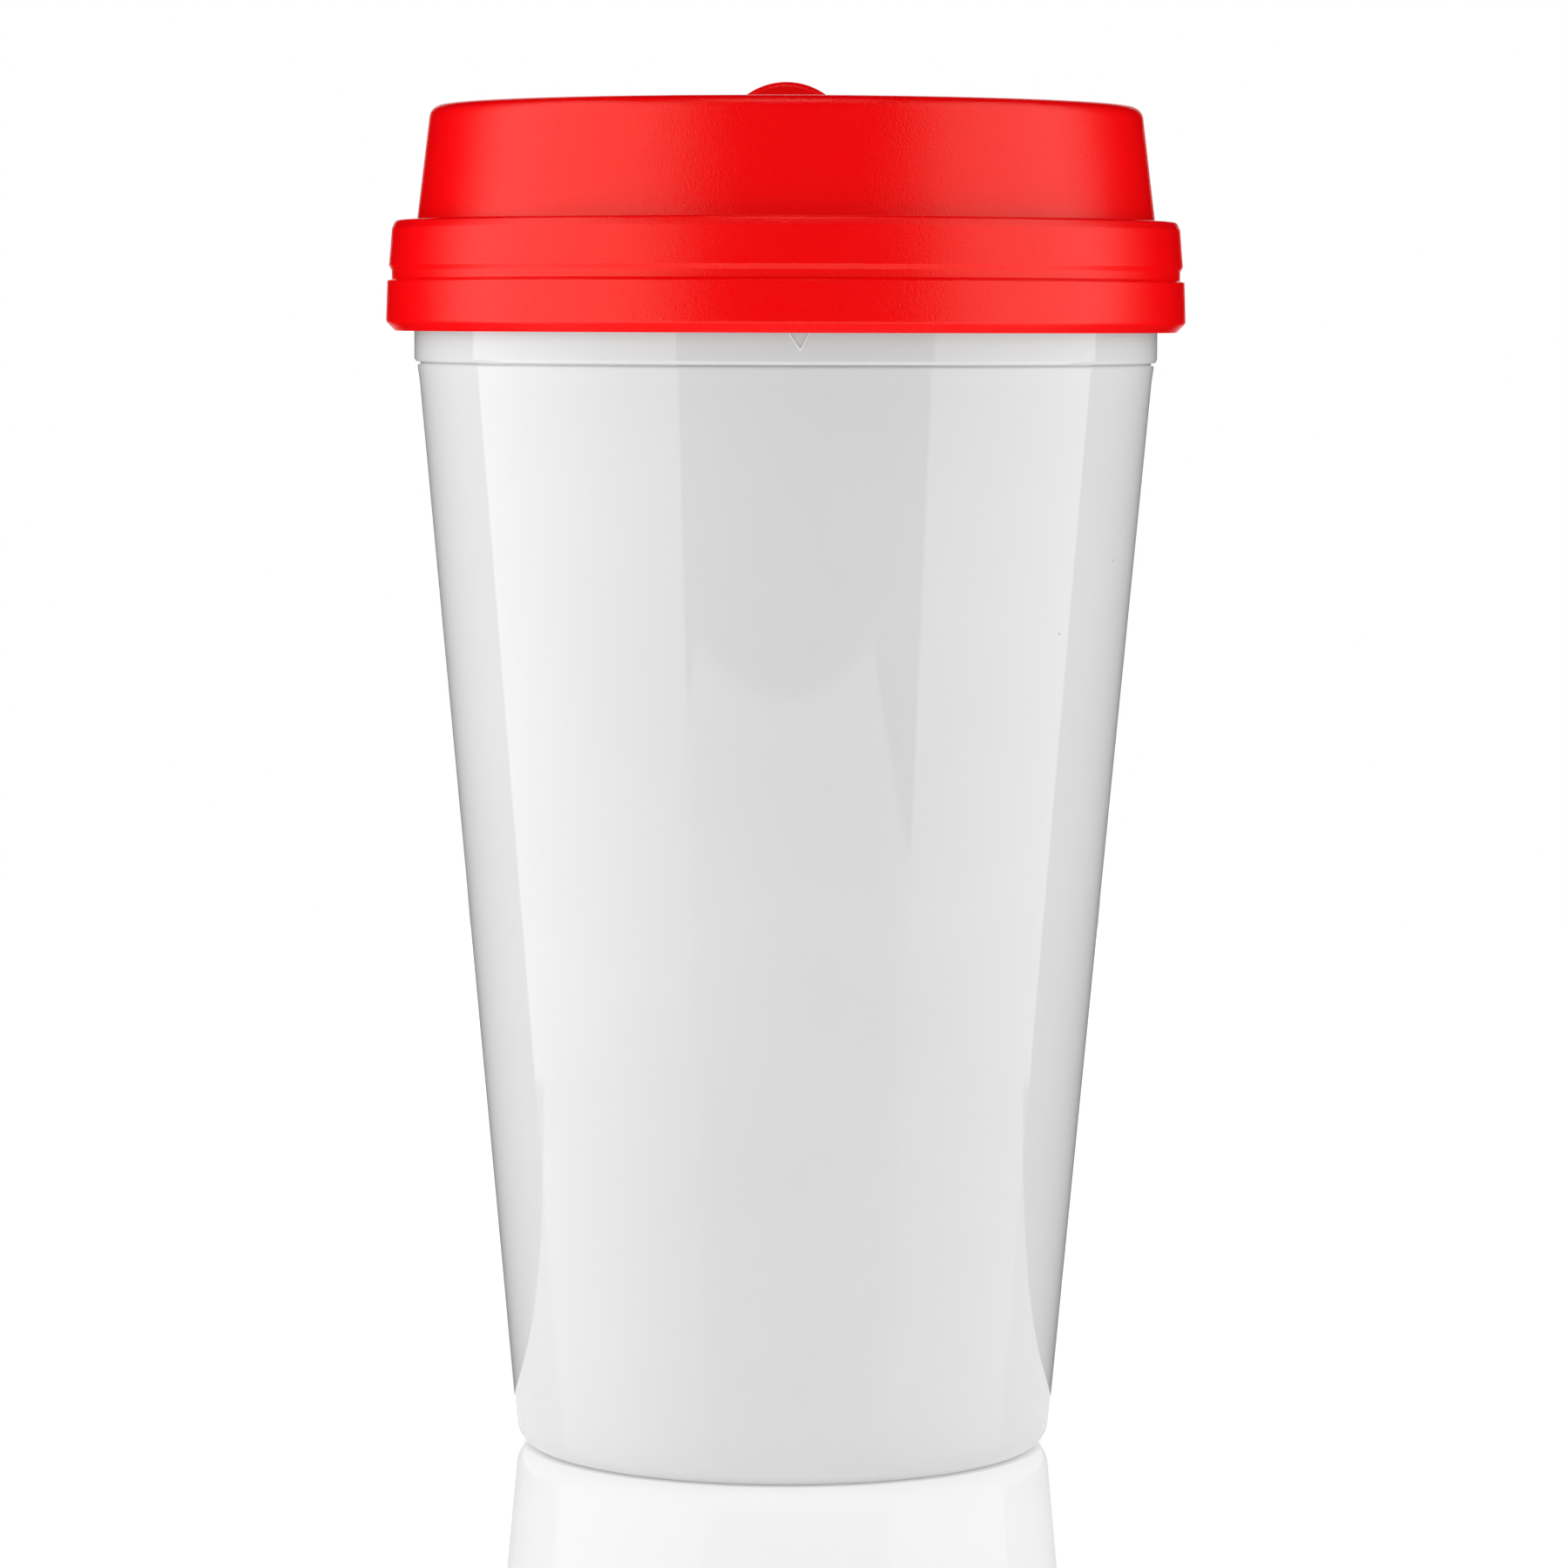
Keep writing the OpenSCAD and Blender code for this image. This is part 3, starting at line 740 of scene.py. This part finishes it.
def satin_red(name):
    """Satin red plastic with a fine grain; the skirt's foot throws a neutral light on the white collar."""
    finish = bpy.context.scene.tumbler_finish
    material = moulded_material(
        name, finish.red, finish.satin, spread=0.02, ior=1.43,
        grain=finish.grain, depth=finish.grain_depth, tooth=0.3, dust=0.05,
    )
    thrown_grey = (0.55, 0.55, 0.55, 1)
    skirt_foot = LID_LOW.z + 0.5 * MM
    tree = material.node_tree
    shader = tree.nodes["Principled BSDF"]
    shader.inputs["Specular Tint"].default_value = (1, 1, 0.8, 1)
    seen = shader.inputs["Base Color"].links[0].from_socket
    place = node(tree, "ShaderNodeTexCoord").outputs["Object"]
    height = node(tree, "ShaderNodeSeparateXYZ", {0: place}).outputs["Z"]
    low = worked(tree, "LESS_THAN", height, skirt_foot)
    thrown = worked(tree, "MULTIPLY", low, node(tree, "ShaderNodeLightPath").outputs["Is Diffuse Ray"])
    tree.links.new(mixed_colour(tree, thrown, seen, thrown_grey), shader.inputs["Base Color"])
    return material


class TUMBLER_OT_shell(Operator):
    """Model the outer shell"""

    bl_idname = "tumbler.shell"
    bl_label = "Outer Shell"

    def execute(self, context):
        s = context.scene.tumbler_shell
        lean = shell_lean()
        edge_start = s.base_round * math.tan((math.pi / 2 - lean) / 2)
        foot_r = s.base_r - edge_start - s.foot_w
        floor_z = s.foot_h + s.floor
        flare_z = s.mouth_z - s.flare_h
        piece = draw_outline("cup_shell", [
            (0, s.foot_h, 0),
            (foot_r - s.foot_h / 2, s.foot_h, SOFT),
            (foot_r, 0, 0.2 * MM),
            (s.base_r, 0, s.base_round),
            (shell_radius(flare_z), flare_z, s.flare_h / 2 / math.tan(lean)),
            (s.top_r + s.flare, s.mouth_z, s.mouth_round),
            (shell_inner_radius(s.mouth_z), s.mouth_z, CRISP),
            (shell_inner_radius(floor_z), floor_z, s.base_round),
            (0, floor_z, 0),
        ], round_steps=8)
        turn_outline()
        face_outwards()
        finish_piece(piece, "cup", "outer_shell", gloss_white("gloss_white_shell"))
        return {"FINISHED"}


class TUMBLER_OT_liner(Operator):
    """Model the inner liner with its collar, thread and index mark"""

    bl_idname = "tumbler.liner"
    bl_label = "Inner Liner"

    def execute(self, context):
        s = context.scene.tumbler_shell
        n = context.scene.tumbler_liner
        t = context.scene.tumbler_thread
        plug_z = s.mouth_z - n.plug_h
        shoulder_z = plug_z - n.shoulder_h
        collar_top = n.collar_z + n.collar_h
        neck_inner_r = n.neck_r - n.neck_wall
        floor_z = n.base_z + n.floor
        joint_r = s.top_r - n.joint_depth
        piece = draw_outline("cup_liner", [
            (0, n.base_z, 0),
            (liner_radius(n.base_z), n.base_z, n.floor_round),
            (liner_radius(shoulder_z), shoulder_z, 0),
            (shell_inner_radius(plug_z) - n.plug_gap, plug_z, SOFT),
            (shell_inner_radius(s.mouth_z) - n.plug_gap, s.mouth_z, 0),
            (joint_r, s.mouth_z, 0),
            (joint_r, n.collar_z, 0),
            (n.collar_r - n.chamfer_w, n.collar_z, 0.08 * MM),
            (n.collar_r, n.collar_z + n.chamfer_h, 0.2 * MM),
            (n.collar_r, collar_top - (n.collar_r - n.neck_r) / 2, SOFT),
            (n.neck_r, collar_top, CRISP),
            (n.neck_r, n.rim_z, n.rim_round),
            (neck_inner_r, n.rim_z, n.rim_round),
            (neck_inner_r, collar_top, 1.5 * MM),
            (liner_inner_radius(shoulder_z), shoulder_z, 1.5 * MM),
            (liner_inner_radius(floor_z), floor_z, n.floor_round),
            (0, floor_z, 0),
        ], round_steps=6)
        turn_outline()
        face_outwards()
        add_threads(
            piece, "neck_thread", n.neck_r, n.neck_r + t.depth, t.root_w, t.crest_w,
            collar_top + t.rise, 0.0, t.turns,
        )
        self.add_mark(piece, n)
        finish_piece(piece, "cup", "inner_liner", gloss_white("gloss_white_liner"))
        return {"FINISHED"}

    def add_mark(self, piece, n):
        """Raises the outline of a triangle that points down on the front of the collar."""
        start_clean()
        tall = n.mark_side * math.sin(math.radians(60))
        bpy.ops.mesh.primitive_circle_add(
            vertices=3, radius=n.mark_side / math.sqrt(3), fill_type="NGON",
            rotation=(math.pi / 2, math.pi, 0),
        )
        mark = settle("index_mark")
        bpy.ops.object.mode_set(mode="EDIT")
        low = min(v.co.z for v in bmesh.from_edit_mesh(mark.data).verts)
        bpy.ops.mesh.select_all(action="SELECT")
        bpy.ops.mesh.inset(thickness=n.mark_line, use_boundary=True)
        bpy.ops.mesh.delete(type="FACE")
        bpy.ops.mesh.select_all(action="SELECT")
        bpy.ops.mesh.extrude_region_move(
            TRANSFORM_OT_translate={"value": (0, -(n.mark_proud + BITE / 2), 0)}
        )
        front = -(n.mark_proud + BITE / 2)
        need(choose("EDGE", lambda e: all(abs(v.co.y - front) < WELD for v in e.verts)), "the mark")
        bpy.ops.mesh.bevel(
            offset_type="OFFSET", offset=0.45 * n.mark_line, segments=3, affect="EDGES", clamp_overlap=True
        )
        bpy.ops.mesh.select_all(action="SELECT")
        bpy.ops.transform.rotate(
            value=math.radians(n.mark_turn), orient_axis="Y", center_override=(0, 0, low)
        )
        up = n.collar_z + n.mark_z - low
        bpy.ops.transform.translate(value=(n.mark_x, BITE / 2 - n.collar_r, up))
        face_outwards()
        if tall > n.collar_h:
            raise RuntimeError("the index mark is taller than the collar")
        combine(piece, mark, "UNION")


class TUMBLER_OT_seal(Operator):
    """Model the seal ring under the lid's ceiling"""

    bl_idname = "tumbler.seal"
    bl_label = "Seal Ring"

    def execute(self, context):
        s = context.scene.tumbler_seal
        finish = context.scene.tumbler_finish
        middle = (s.inner_r + s.outer_r) / 2
        low, high = SEAL_LOW.z, SEAL_HIGH.z
        piece = draw_outline("seal_ring", [
            (middle, low, 0),
            (s.outer_r, low, s.edge),
            (s.outer_r, high, s.edge),
            (s.inner_r, high, s.edge),
            (s.inner_r, low, s.edge),
            (middle, low, 0),
        ], closed=True)
        turn_outline()
        face_outwards()
        rubber = moulded_material(
            "milky_silicone", finish.seal, finish.rubber, spread=0.05, ior=1.41,
            grain=0.6 * MM, depth=0.006 * MM, tooth=0.4, dust=0.3,
        )
        finish_piece(piece, "seal", "lid_gasket", rubber)
        return {"FINISHED"}


class TUMBLER_OT_lid(Operator):
    """Model the screw lid with its skirt, deck, holes, rails and thread"""

    bl_idname = "tumbler.lid"
    bl_label = "Screw Lid"

    def execute(self, context):
        lid = context.scene.tumbler_lid
        slide = context.scene.tumbler_slide
        piece = self.turned_form(lid)
        self.cut_holes(piece, lid)
        self.add_rails(piece, lid, slide)
        self.add_thread(piece, lid, context.scene)
        finish_piece(piece, "lid", "lid", satin_red("satin_red_lid"))
        return {"FINISHED"}

    def turned_form(self, lid):
        """Skirt, groove, ledge, top wall, rim, recess and deck."""
        bore_r = lid.skirt_r - lid.skirt_wall
        lower_top_r = lid.skirt_r - lid.lower_lean
        upper_r = lower_top_r - lid.band_step
        upper_top_r = upper_r - lid.upper_lean
        groove_r = upper_r - lid.groove_depth
        upper_low_z = lid.ledge_z - lid.upper_h
        groove_z = upper_low_z - lid.groove_slope - lid.groove_flat
        lower_top_z = groove_z - lid.groove_step
        foot_r = top_foot_radius()
        rim_r = foot_r - lid.top_lean
        ceiling_z = lid.ledge_z - lid.ledge_t
        deck_z = deck_height()
        under_z = deck_z - lid.deck_t
        slope = lid.top_lean / (lid.rim_z - lid.ledge_z)
        inner_foot_r = foot_r - (ceiling_z - lid.ledge_z) * slope - lid.top_wall
        inner_top_r = foot_r - (under_z - lid.ledge_z) * slope - lid.top_wall
        bore_bevel = lid.skirt_wall / 4
        deck_edge = 2 * MM
        edge = lid.edge
        piece = draw_outline("screw_lid", [
            (recess_radius() - deck_edge, deck_z, 0),
            (recess_radius(), deck_z, 0.5 * MM),
            (rim_r - lid.rim_w, lid.rim_z, lid.rim_inner),
            (rim_r, lid.rim_z, lid.rim_outer),
            (foot_r, lid.ledge_z, CRISP),
            (upper_top_r - lid.ledge_bevel_w, lid.ledge_z, lid.ledge_edge),
            (upper_top_r, lid.ledge_z - lid.ledge_bevel_h, 2 * edge),
            (upper_r, upper_low_z, 1.2 * edge),
            (groove_r, groove_z + lid.groove_flat, 1.2 * edge),
            (groove_r, groove_z, edge / 2),
            (groove_r - lid.seam / 2, groove_z - lid.seam / 2, 0),
            (groove_r, groove_z - lid.seam, 0),
            (lower_top_r, lower_top_z, edge),
            (lid.skirt_r, lid.low_z + lid.skirt_bevel, 4 * edge),
            (lid.skirt_r - lid.skirt_bevel, lid.low_z, edge),
            (bore_r + bore_bevel, lid.low_z, edge),
            (bore_r, lid.low_z + bore_bevel, edge),
            (bore_r, ceiling_z, SOFT),
            (inner_foot_r, ceiling_z, SOFT),
            (inner_top_r, under_z, 0.6 * MM),
            (inner_top_r - deck_edge, under_z, 0),
        ], round_steps=5)
        turn_outline()
        for height in (deck_z, under_z):
            need(choose("EDGE", lambda e: e.is_boundary and abs(e.verts[0].co.z - height) < WELD), "the deck")
            bpy.ops.mesh.edge_face_add()
        face_outwards()
        return piece

    def cut_holes(self, piece, lid):
        """Cuts the drinking hole, a slot with round ends, and the vent hole."""
        steps = 64
        middle_z = deck_height() - lid.deck_t / 2
        tall = 3 * lid.deck_t
        start_clean()
        bpy.ops.mesh.primitive_cylinder_add(
            vertices=steps, radius=lid.hole_l / 2, depth=tall,
            location=(0, lid.hole_edge + lid.hole_l / 2 - recess_radius(), middle_z),
            rotation=(0, 0, math.pi / steps),
        )
        slot = settle("drinking_hole")
        bpy.ops.object.mode_set(mode="EDIT")
        for side in (-1, 1):
            need(choose("VERT", lambda v: v.co.x * side > 0), "the drinking hole")
            bpy.ops.transform.translate(value=(side * (lid.hole_w - lid.hole_l) / 2, 0, 0))
        bpy.ops.object.mode_set(mode="OBJECT")
        combine(piece, slot, "DIFFERENCE")
        start_clean()
        bpy.ops.mesh.primitive_cylinder_add(
            vertices=steps // 2, radius=lid.vent_d / 2, depth=tall,
            location=(0, recess_radius() - lid.vent_edge, middle_z),
        )
        combine(piece, settle("vent_hole"), "DIFFERENCE")
        deck_z = deck_height()
        hole_reach = recess_radius() - 3 * MM

        def hole_edge(e):
            z = e.verts[0].co.z
            on_deck = min(abs(z - deck_z), abs(z - deck_z + lid.deck_t)) < WELD
            wall = any(abs(f.normal.z) < 0.5 for f in e.link_faces)
            return is_level(e) and on_deck and wall and all(v.co.xy.length < hole_reach for v in e.verts)

        soften(piece, lid.soft_edge, 3, hole_edge)

    def add_rails(self, piece, lid, slide):
        """Unites the lid with its two lipped rails and the rear stop."""
        deck_z = deck_height()
        plate_top = deck_z + slide.gap + slide.plate_t
        rail_x = lid.hole_w / 2 + slide.plate_lap + slide.gap
        rail_top = plate_top + slide.gap + lid.lip_t
        travel = lid.hole_edge - slide.end_gap + lid.hole_l + slide.open_margin
        stop_y = slide.tail + travel + 2 * slide.gap
        front_y = lid.rail_edge - recess_radius()
        long = stop_y + lid.rail_w - front_y
        low = deck_z - BITE
        soft = lid.soft_edge
        rail = draw_outline("rail", [
            (rail_x + lid.rail_w, (low + rail_top) / 2, 0),
            (rail_x + lid.rail_w, rail_top, soft),
            (rail_x - lid.lip_w, rail_top, soft),
            (rail_x - lid.lip_w, rail_top - lid.lip_t, soft / 2),
            (rail_x, rail_top - lid.lip_t, 0),
            (rail_x, low, 0),
            (rail_x + lid.rail_w, low, 0),
            (rail_x + lid.rail_w, (low + rail_top) / 2, 0),
        ], closed=True, round_steps=3)
        bpy.ops.mesh.select_all(action="SELECT")
        bpy.ops.transform.translate(value=(0, front_y, 0))
        bpy.ops.mesh.edge_face_add()
        bpy.ops.mesh.extrude_region_move(TRANSFORM_OT_translate={"value": (0, long, 0)})
        face_outwards()
        soften(rail, soft / 2, 2, lambda e: is_across(e) and max(v.co.z for v in e.verts) > deck_z)
        bpy.ops.object.modifier_add(type="MIRROR")
        bpy.ops.object.modifier_apply(modifier=rail.modifiers[-1].name)
        combine(piece, rail, "UNION")
        start_clean()
        bpy.ops.mesh.primitive_cube_add(
            size=1,
            location=(0, stop_y + (lid.rail_w - soft) / 2, (low + plate_top) / 2),
            scale=(2 * rail_x + lid.rail_w / 2, lid.rail_w - soft, plate_top - low),
        )
        stop = settle("rear_stop")
        soften(stop, soft, 3, lambda e: is_level(e) and is_across(e) and e.verts[0].co.z > deck_z)
        combine(piece, stop, "UNION")

    def add_thread(self, piece, lid, scene):
        """Unites the lid with the thread inside its skirt."""
        t = scene.tumbler_thread
        n = scene.tumbler_liner
        collar_top = n.collar_z + n.collar_h
        bore_r = lid.skirt_r - lid.skirt_wall
        ease = (t.root_w - t.crest_w) / 2 * t.crest_gap / t.depth
        drop = (t.root_w + t.lid_crest_w) / 2 - ease + t.flank_gap
        zero = collar_top + t.rise - drop
        first = collar_top + t.crest_gap + t.lid_root_w / 2
        start = (first - zero) / t.lead * math.tau
        add_threads(
            piece, "lid_thread", bore_r, n.neck_r + t.crest_gap, t.lid_root_w, t.lid_crest_w,
            zero, start, t.lid_turns,
        )


class TUMBLER_OT_slide(Operator):
    """Model the sliding plate with its upright thumb tab"""

    bl_idname = "tumbler.slide"
    bl_label = "Thumb Slide"

    def execute(self, context):
        lid = context.scene.tumbler_lid
        s = context.scene.tumbler_slide
        plate_z = deck_height() + s.gap
        plate_top = plate_z + s.plate_t
        half = lid.hole_w / 2 + s.plate_lap
        front_r = recess_radius() - s.end_gap
        piece = self.plate(s, plate_z, half, front_r)
        tab = self.tab(s, plate_top)
        combine(piece, tab, "UNION")
        soften(piece, s.tab_foot, 3, lambda e: (
            all(abs(v.co.z - plate_top) < WELD and abs(v.co.x) < s.tab_r + WELD for v in e.verts)
            and any(abs(f.normal.z) < 0.5 for f in e.link_faces)
        ))
        finish_piece(piece, "slide", "slider", satin_red("satin_red_slide"))
        return {"FINISHED"}

    def plate(self, s, plate_z, half, front_r):
        """The plate: its front arc spun, its sides extruded, filled, raised and rounded."""
        swing = math.asin(half / front_r)
        side_y = -front_r * math.cos(swing)
        start_clean()
        bpy.ops.mesh.primitive_plane_add(size=MM, location=(-half, side_y, plate_z))
        piece = settle("slide_plate")
        bpy.ops.object.mode_set(mode="EDIT")
        bpy.ops.mesh.select_mode(type="VERT")
        bpy.ops.mesh.select_all(action="SELECT")
        bpy.ops.mesh.merge(type="CENTER")
        bpy.ops.mesh.spin(steps=24, angle=-2 * swing, center=(0, 0, plate_z), axis=(0, 0, 1))
        for move in ((0, s.tail - side_y, 0), (-2 * half, 0, 0)):
            bpy.ops.mesh.extrude_region_move(TRANSFORM_OT_translate={"value": move})
        bpy.ops.mesh.select_all(action="SELECT")
        bpy.ops.mesh.edge_face_add()
        for y, radius in ((side_y, s.corner / 4), (s.tail, s.corner)):
            need(choose("VERT", lambda v: (
                abs(abs(v.co.x) - half) < WELD and abs(v.co.y - y) < WELD
            )), "a corner of the plate")
            bpy.ops.mesh.bevel(offset_type="OFFSET", offset=radius, segments=8, affect="VERTICES")
        bpy.ops.mesh.select_all(action="SELECT")
        bpy.ops.mesh.extrude_region_move(TRANSFORM_OT_translate={"value": (0, 0, s.plate_t)})
        face_outwards()
        soften(piece, s.edge, 3, is_level)
        return piece

    def tab(self, s, plate_top):
        """The thumb tab: an upright disc, bevelled round both faces and cut off in the plate."""
        start_clean()
        bpy.ops.mesh.primitive_cylinder_add(
            vertices=192, radius=s.tab_r, depth=s.tab_t,
            location=(0, 0, plate_top + s.tab_rise), rotation=(math.pi / 2, 0, 0),
        )
        tab = settle("thumb_tab")
        soften(tab, s.tab_bevel, 1, is_across)
        soften(tab, s.tab_edge, 2, is_across)
        pick(tab)
        bpy.ops.object.mode_set(mode="EDIT")
        bpy.ops.mesh.select_all(action="SELECT")
        bpy.ops.mesh.bisect(
            plane_co=(0, 0, plate_top - BITE), plane_no=(0, 0, -1), use_fill=True, clear_outer=True,
            threshold=WELD / 10,
        )
        face_outwards()
        return tab


class TUMBLER_OT_stage(Operator):
    """Set the camera, the lamps, the table and the background"""

    bl_idname = "tumbler.stage"
    bl_label = "Stage"

    def execute(self, context):
        stage = context.scene.tumbler_stage
        self.add_camera(context, stage)
        self.add_lamps(stage)
        self.add_table(stage)
        self.light_world(context, stage)
        context.scene.view_settings.view_transform = "Standard"
        return {"FINISHED"}

    def add_camera(self, context, stage):
        start_clean()
        bpy.ops.object.camera_add(
            location=(-stage.aside, -stage.distance, stage.height),
            rotation=(math.radians(90 - stage.pitch), 0, 0),
        )
        camera = context.object
        camera.name = "camera"
        camera.data.sensor_width = 36
        camera.data.lens = stage.lens
        camera.rotation_euler.rotate_axis("Z", math.radians(stage.roll))
        context.scene.camera = camera

    def add_panel(self, name, middle, size, light):
        """A rectangular soft light that faces the object, with its brightness as a share of white."""
        start_clean()
        bpy.ops.object.light_add(type="AREA", location=middle)
        lamp = bpy.context.object
        lamp.name = name
        lamp.data.shape = "RECTANGLE"
        lamp.data.size, lamp.data.size_y = size
        lamp.data.energy = light * math.pi * size[0] * size[1]
        lamp.visible_camera = False
        return lamp

    def add_lamps(self, stage):
        reach = stage.panel_reach
        tall = stage.panel_high - stage.panel_low
        middle_z = (stage.panel_high + stage.panel_low) / 2
        sides = [
            ("left_panel", -1, stage.left_from, stage.left_to, stage.left_light),
            ("right_panel", 1, stage.right_from, stage.right_to, stage.right_light),
        ]
        for name, side, first, last, light in sides:
            front_y = -reach / math.tan(math.radians(first))
            back_y = -reach / math.tan(math.radians(last))
            middle = (side * reach, (front_y + back_y) / 2, middle_z)
            lamp = self.add_panel(name, middle, (back_y - front_y, tall), light)
            lamp.rotation_euler = (math.pi / 2, 0, side * math.pi / 2)
        above = (0, -stage.top_front, stage.panel_high)
        self.add_panel("top_panel", above, (stage.top_w, stage.top_d), stage.top_light)
        back_w = 2 * stage.back_y * math.tan(math.radians(stage.back_half))
        lamp = self.add_panel("backdrop", (0, stage.back_y, middle_z), (back_w, tall), stage.back_light)
        lamp.rotation_euler = (-math.pi / 2, 0, 0)

    def add_table(self, stage):
        """The table: pale for the object, and white for the camera apart from shadow and reflection."""
        start_clean()
        deep = stage.table_front + stage.table_back
        bpy.ops.mesh.primitive_plane_add(size=1)
        bpy.ops.transform.resize(value=(stage.table_w, deep, 1))
        bpy.ops.transform.translate(value=(0, (stage.table_back - stage.table_front) / 2, 0))
        table = settle("table")
        material = bpy.data.materials.new("table_white")
        material.use_nodes = True
        tree = material.node_tree
        links = tree.links
        shader = tree.nodes["Principled BSDF"]
        shader.inputs["Roughness"].default_value = 0.04
        shader.inputs["Emission Color"].default_value = (1, 1, 1, 1)
        path = node(tree, "ShaderNodeLightPath").outputs
        camera = path["Is Camera Ray"]
        place = node(tree, "ShaderNodeTexCoord").outputs["Object"]
        away = node(tree, "ShaderNodeVectorMath", {0: place}, operation="LENGTH").outputs["Value"]
        shell = bpy.context.scene.tumbler_shell
        foot_r = shell.base_r - shell.base_round
        dark = stage.contact_dark * stage.table_glow
        shaded = ramp(tree, away, foot_r, foot_r + stage.contact_far, dark, stage.table_glow)
        # Painted contact shadow: a thin dark line on the table round the foot, seen by the camera only
        painted_contact_shadow = ramp(tree, away, foot_r, foot_r + stage.contact_near, 0.0, stage.table_white)
        whiter = ramp(tree, away, stage.white_from, stage.white_to, 0.0, 1 - stage.table_white)
        glow = mixed(tree, camera, shaded, worked(tree, "ADD", painted_contact_shadow, whiter))
        back = node(tree, "ShaderNodeSeparateXYZ", {0: place}).outputs["Y"]
        behind = worked(tree, "GREATER_THAN", back, stage.table_lit)
        near = ramp(tree, away, stage.near_from, stage.near_to, stage.near_shade, 0.0)
        steep = worked(tree, "GREATER_THAN", path["Ray Length"], away)
        hidden = worked(tree, "MAXIMUM", behind, worked(tree, "MULTIPLY", near, steep))
        unlit = worked(tree, "MULTIPLY", hidden, path["Is Glossy Ray"])
        pale = mixed_colour(tree, camera, (0.8, 0.8, 0.8, 1), (0.2, 0.2, 0.2, 1))
        links.new(mixed_colour(tree, unlit, pale, (0, 0, 0, 1)), shader.inputs["Base Color"])
        links.new(mixed(tree, unlit, glow, 0.0), shader.inputs["Emission Strength"])
        table.data.materials.append(material)

    def light_world(self, context, stage):
        """White for the camera, and an even light from all round that shows in no reflection."""
        world = bpy.data.worlds.new("studio")
        context.scene.world = world
        world.use_nodes = True
        world.cycles_visibility.glossy = False
        world.cycles.sampling_method = "NONE"
        tree = world.node_tree
        background = tree.nodes["Background"]
        background.inputs["Color"].default_value = (1, 1, 1, 1)
        place = node(tree, "ShaderNodeTexCoord").outputs["Generated"]
        height = node(tree, "ShaderNodeSeparateXYZ", {0: place}).outputs["Z"]
        around = mixed(tree, height, stage.ambient, stage.ambient_up)
        camera = node(tree, "ShaderNodeLightPath").outputs["Is Camera Ray"]
        tree.links.new(mixed(tree, camera, around, 1.0), background.inputs["Strength"])


class TUMBLER_PT_panel(Panel):
    """Lists the tumbler's sizes and the steps that build it"""

    bl_idname = "TUMBLER_PT_panel"
    bl_label = "Travel Tumbler"
    bl_space_type = "VIEW_3D"
    bl_region_type = "UI"
    bl_category = "Tumbler"

    def draw(self, context):
        for operator in OPERATORS:
            self.layout.operator(operator.bl_idname)
        for name, group in GROUPS.items():
            box = self.layout.box()
            box.label(text=group.__doc__)
            for key in group.__annotations__:
                box.prop(getattr(context.scene, name), key)


OPERATORS = (
    TUMBLER_OT_stage,
    TUMBLER_OT_shell,
    TUMBLER_OT_liner,
    TUMBLER_OT_seal,
    TUMBLER_OT_lid,
    TUMBLER_OT_slide,
)


def register():
    for cls in (*GROUPS.values(), *OPERATORS, TUMBLER_PT_panel):
        bpy.utils.register_class(cls)
    for name, group in GROUPS.items():
        setattr(bpy.types.Scene, name, PointerProperty(type=group))


def unregister():
    for name in GROUPS:
        delattr(bpy.types.Scene, name)
    for cls in reversed((*GROUPS.values(), *OPERATORS, TUMBLER_PT_panel)):
        bpy.utils.unregister_class(cls)


def main():
    register()
    bpy.ops.tumbler.stage()
    bpy.ops.tumbler.shell()
    bpy.ops.tumbler.liner()
    bpy.ops.tumbler.seal()
    bpy.ops.tumbler.lid()
    bpy.ops.tumbler.slide()


if __name__ == "__main__":
    main()
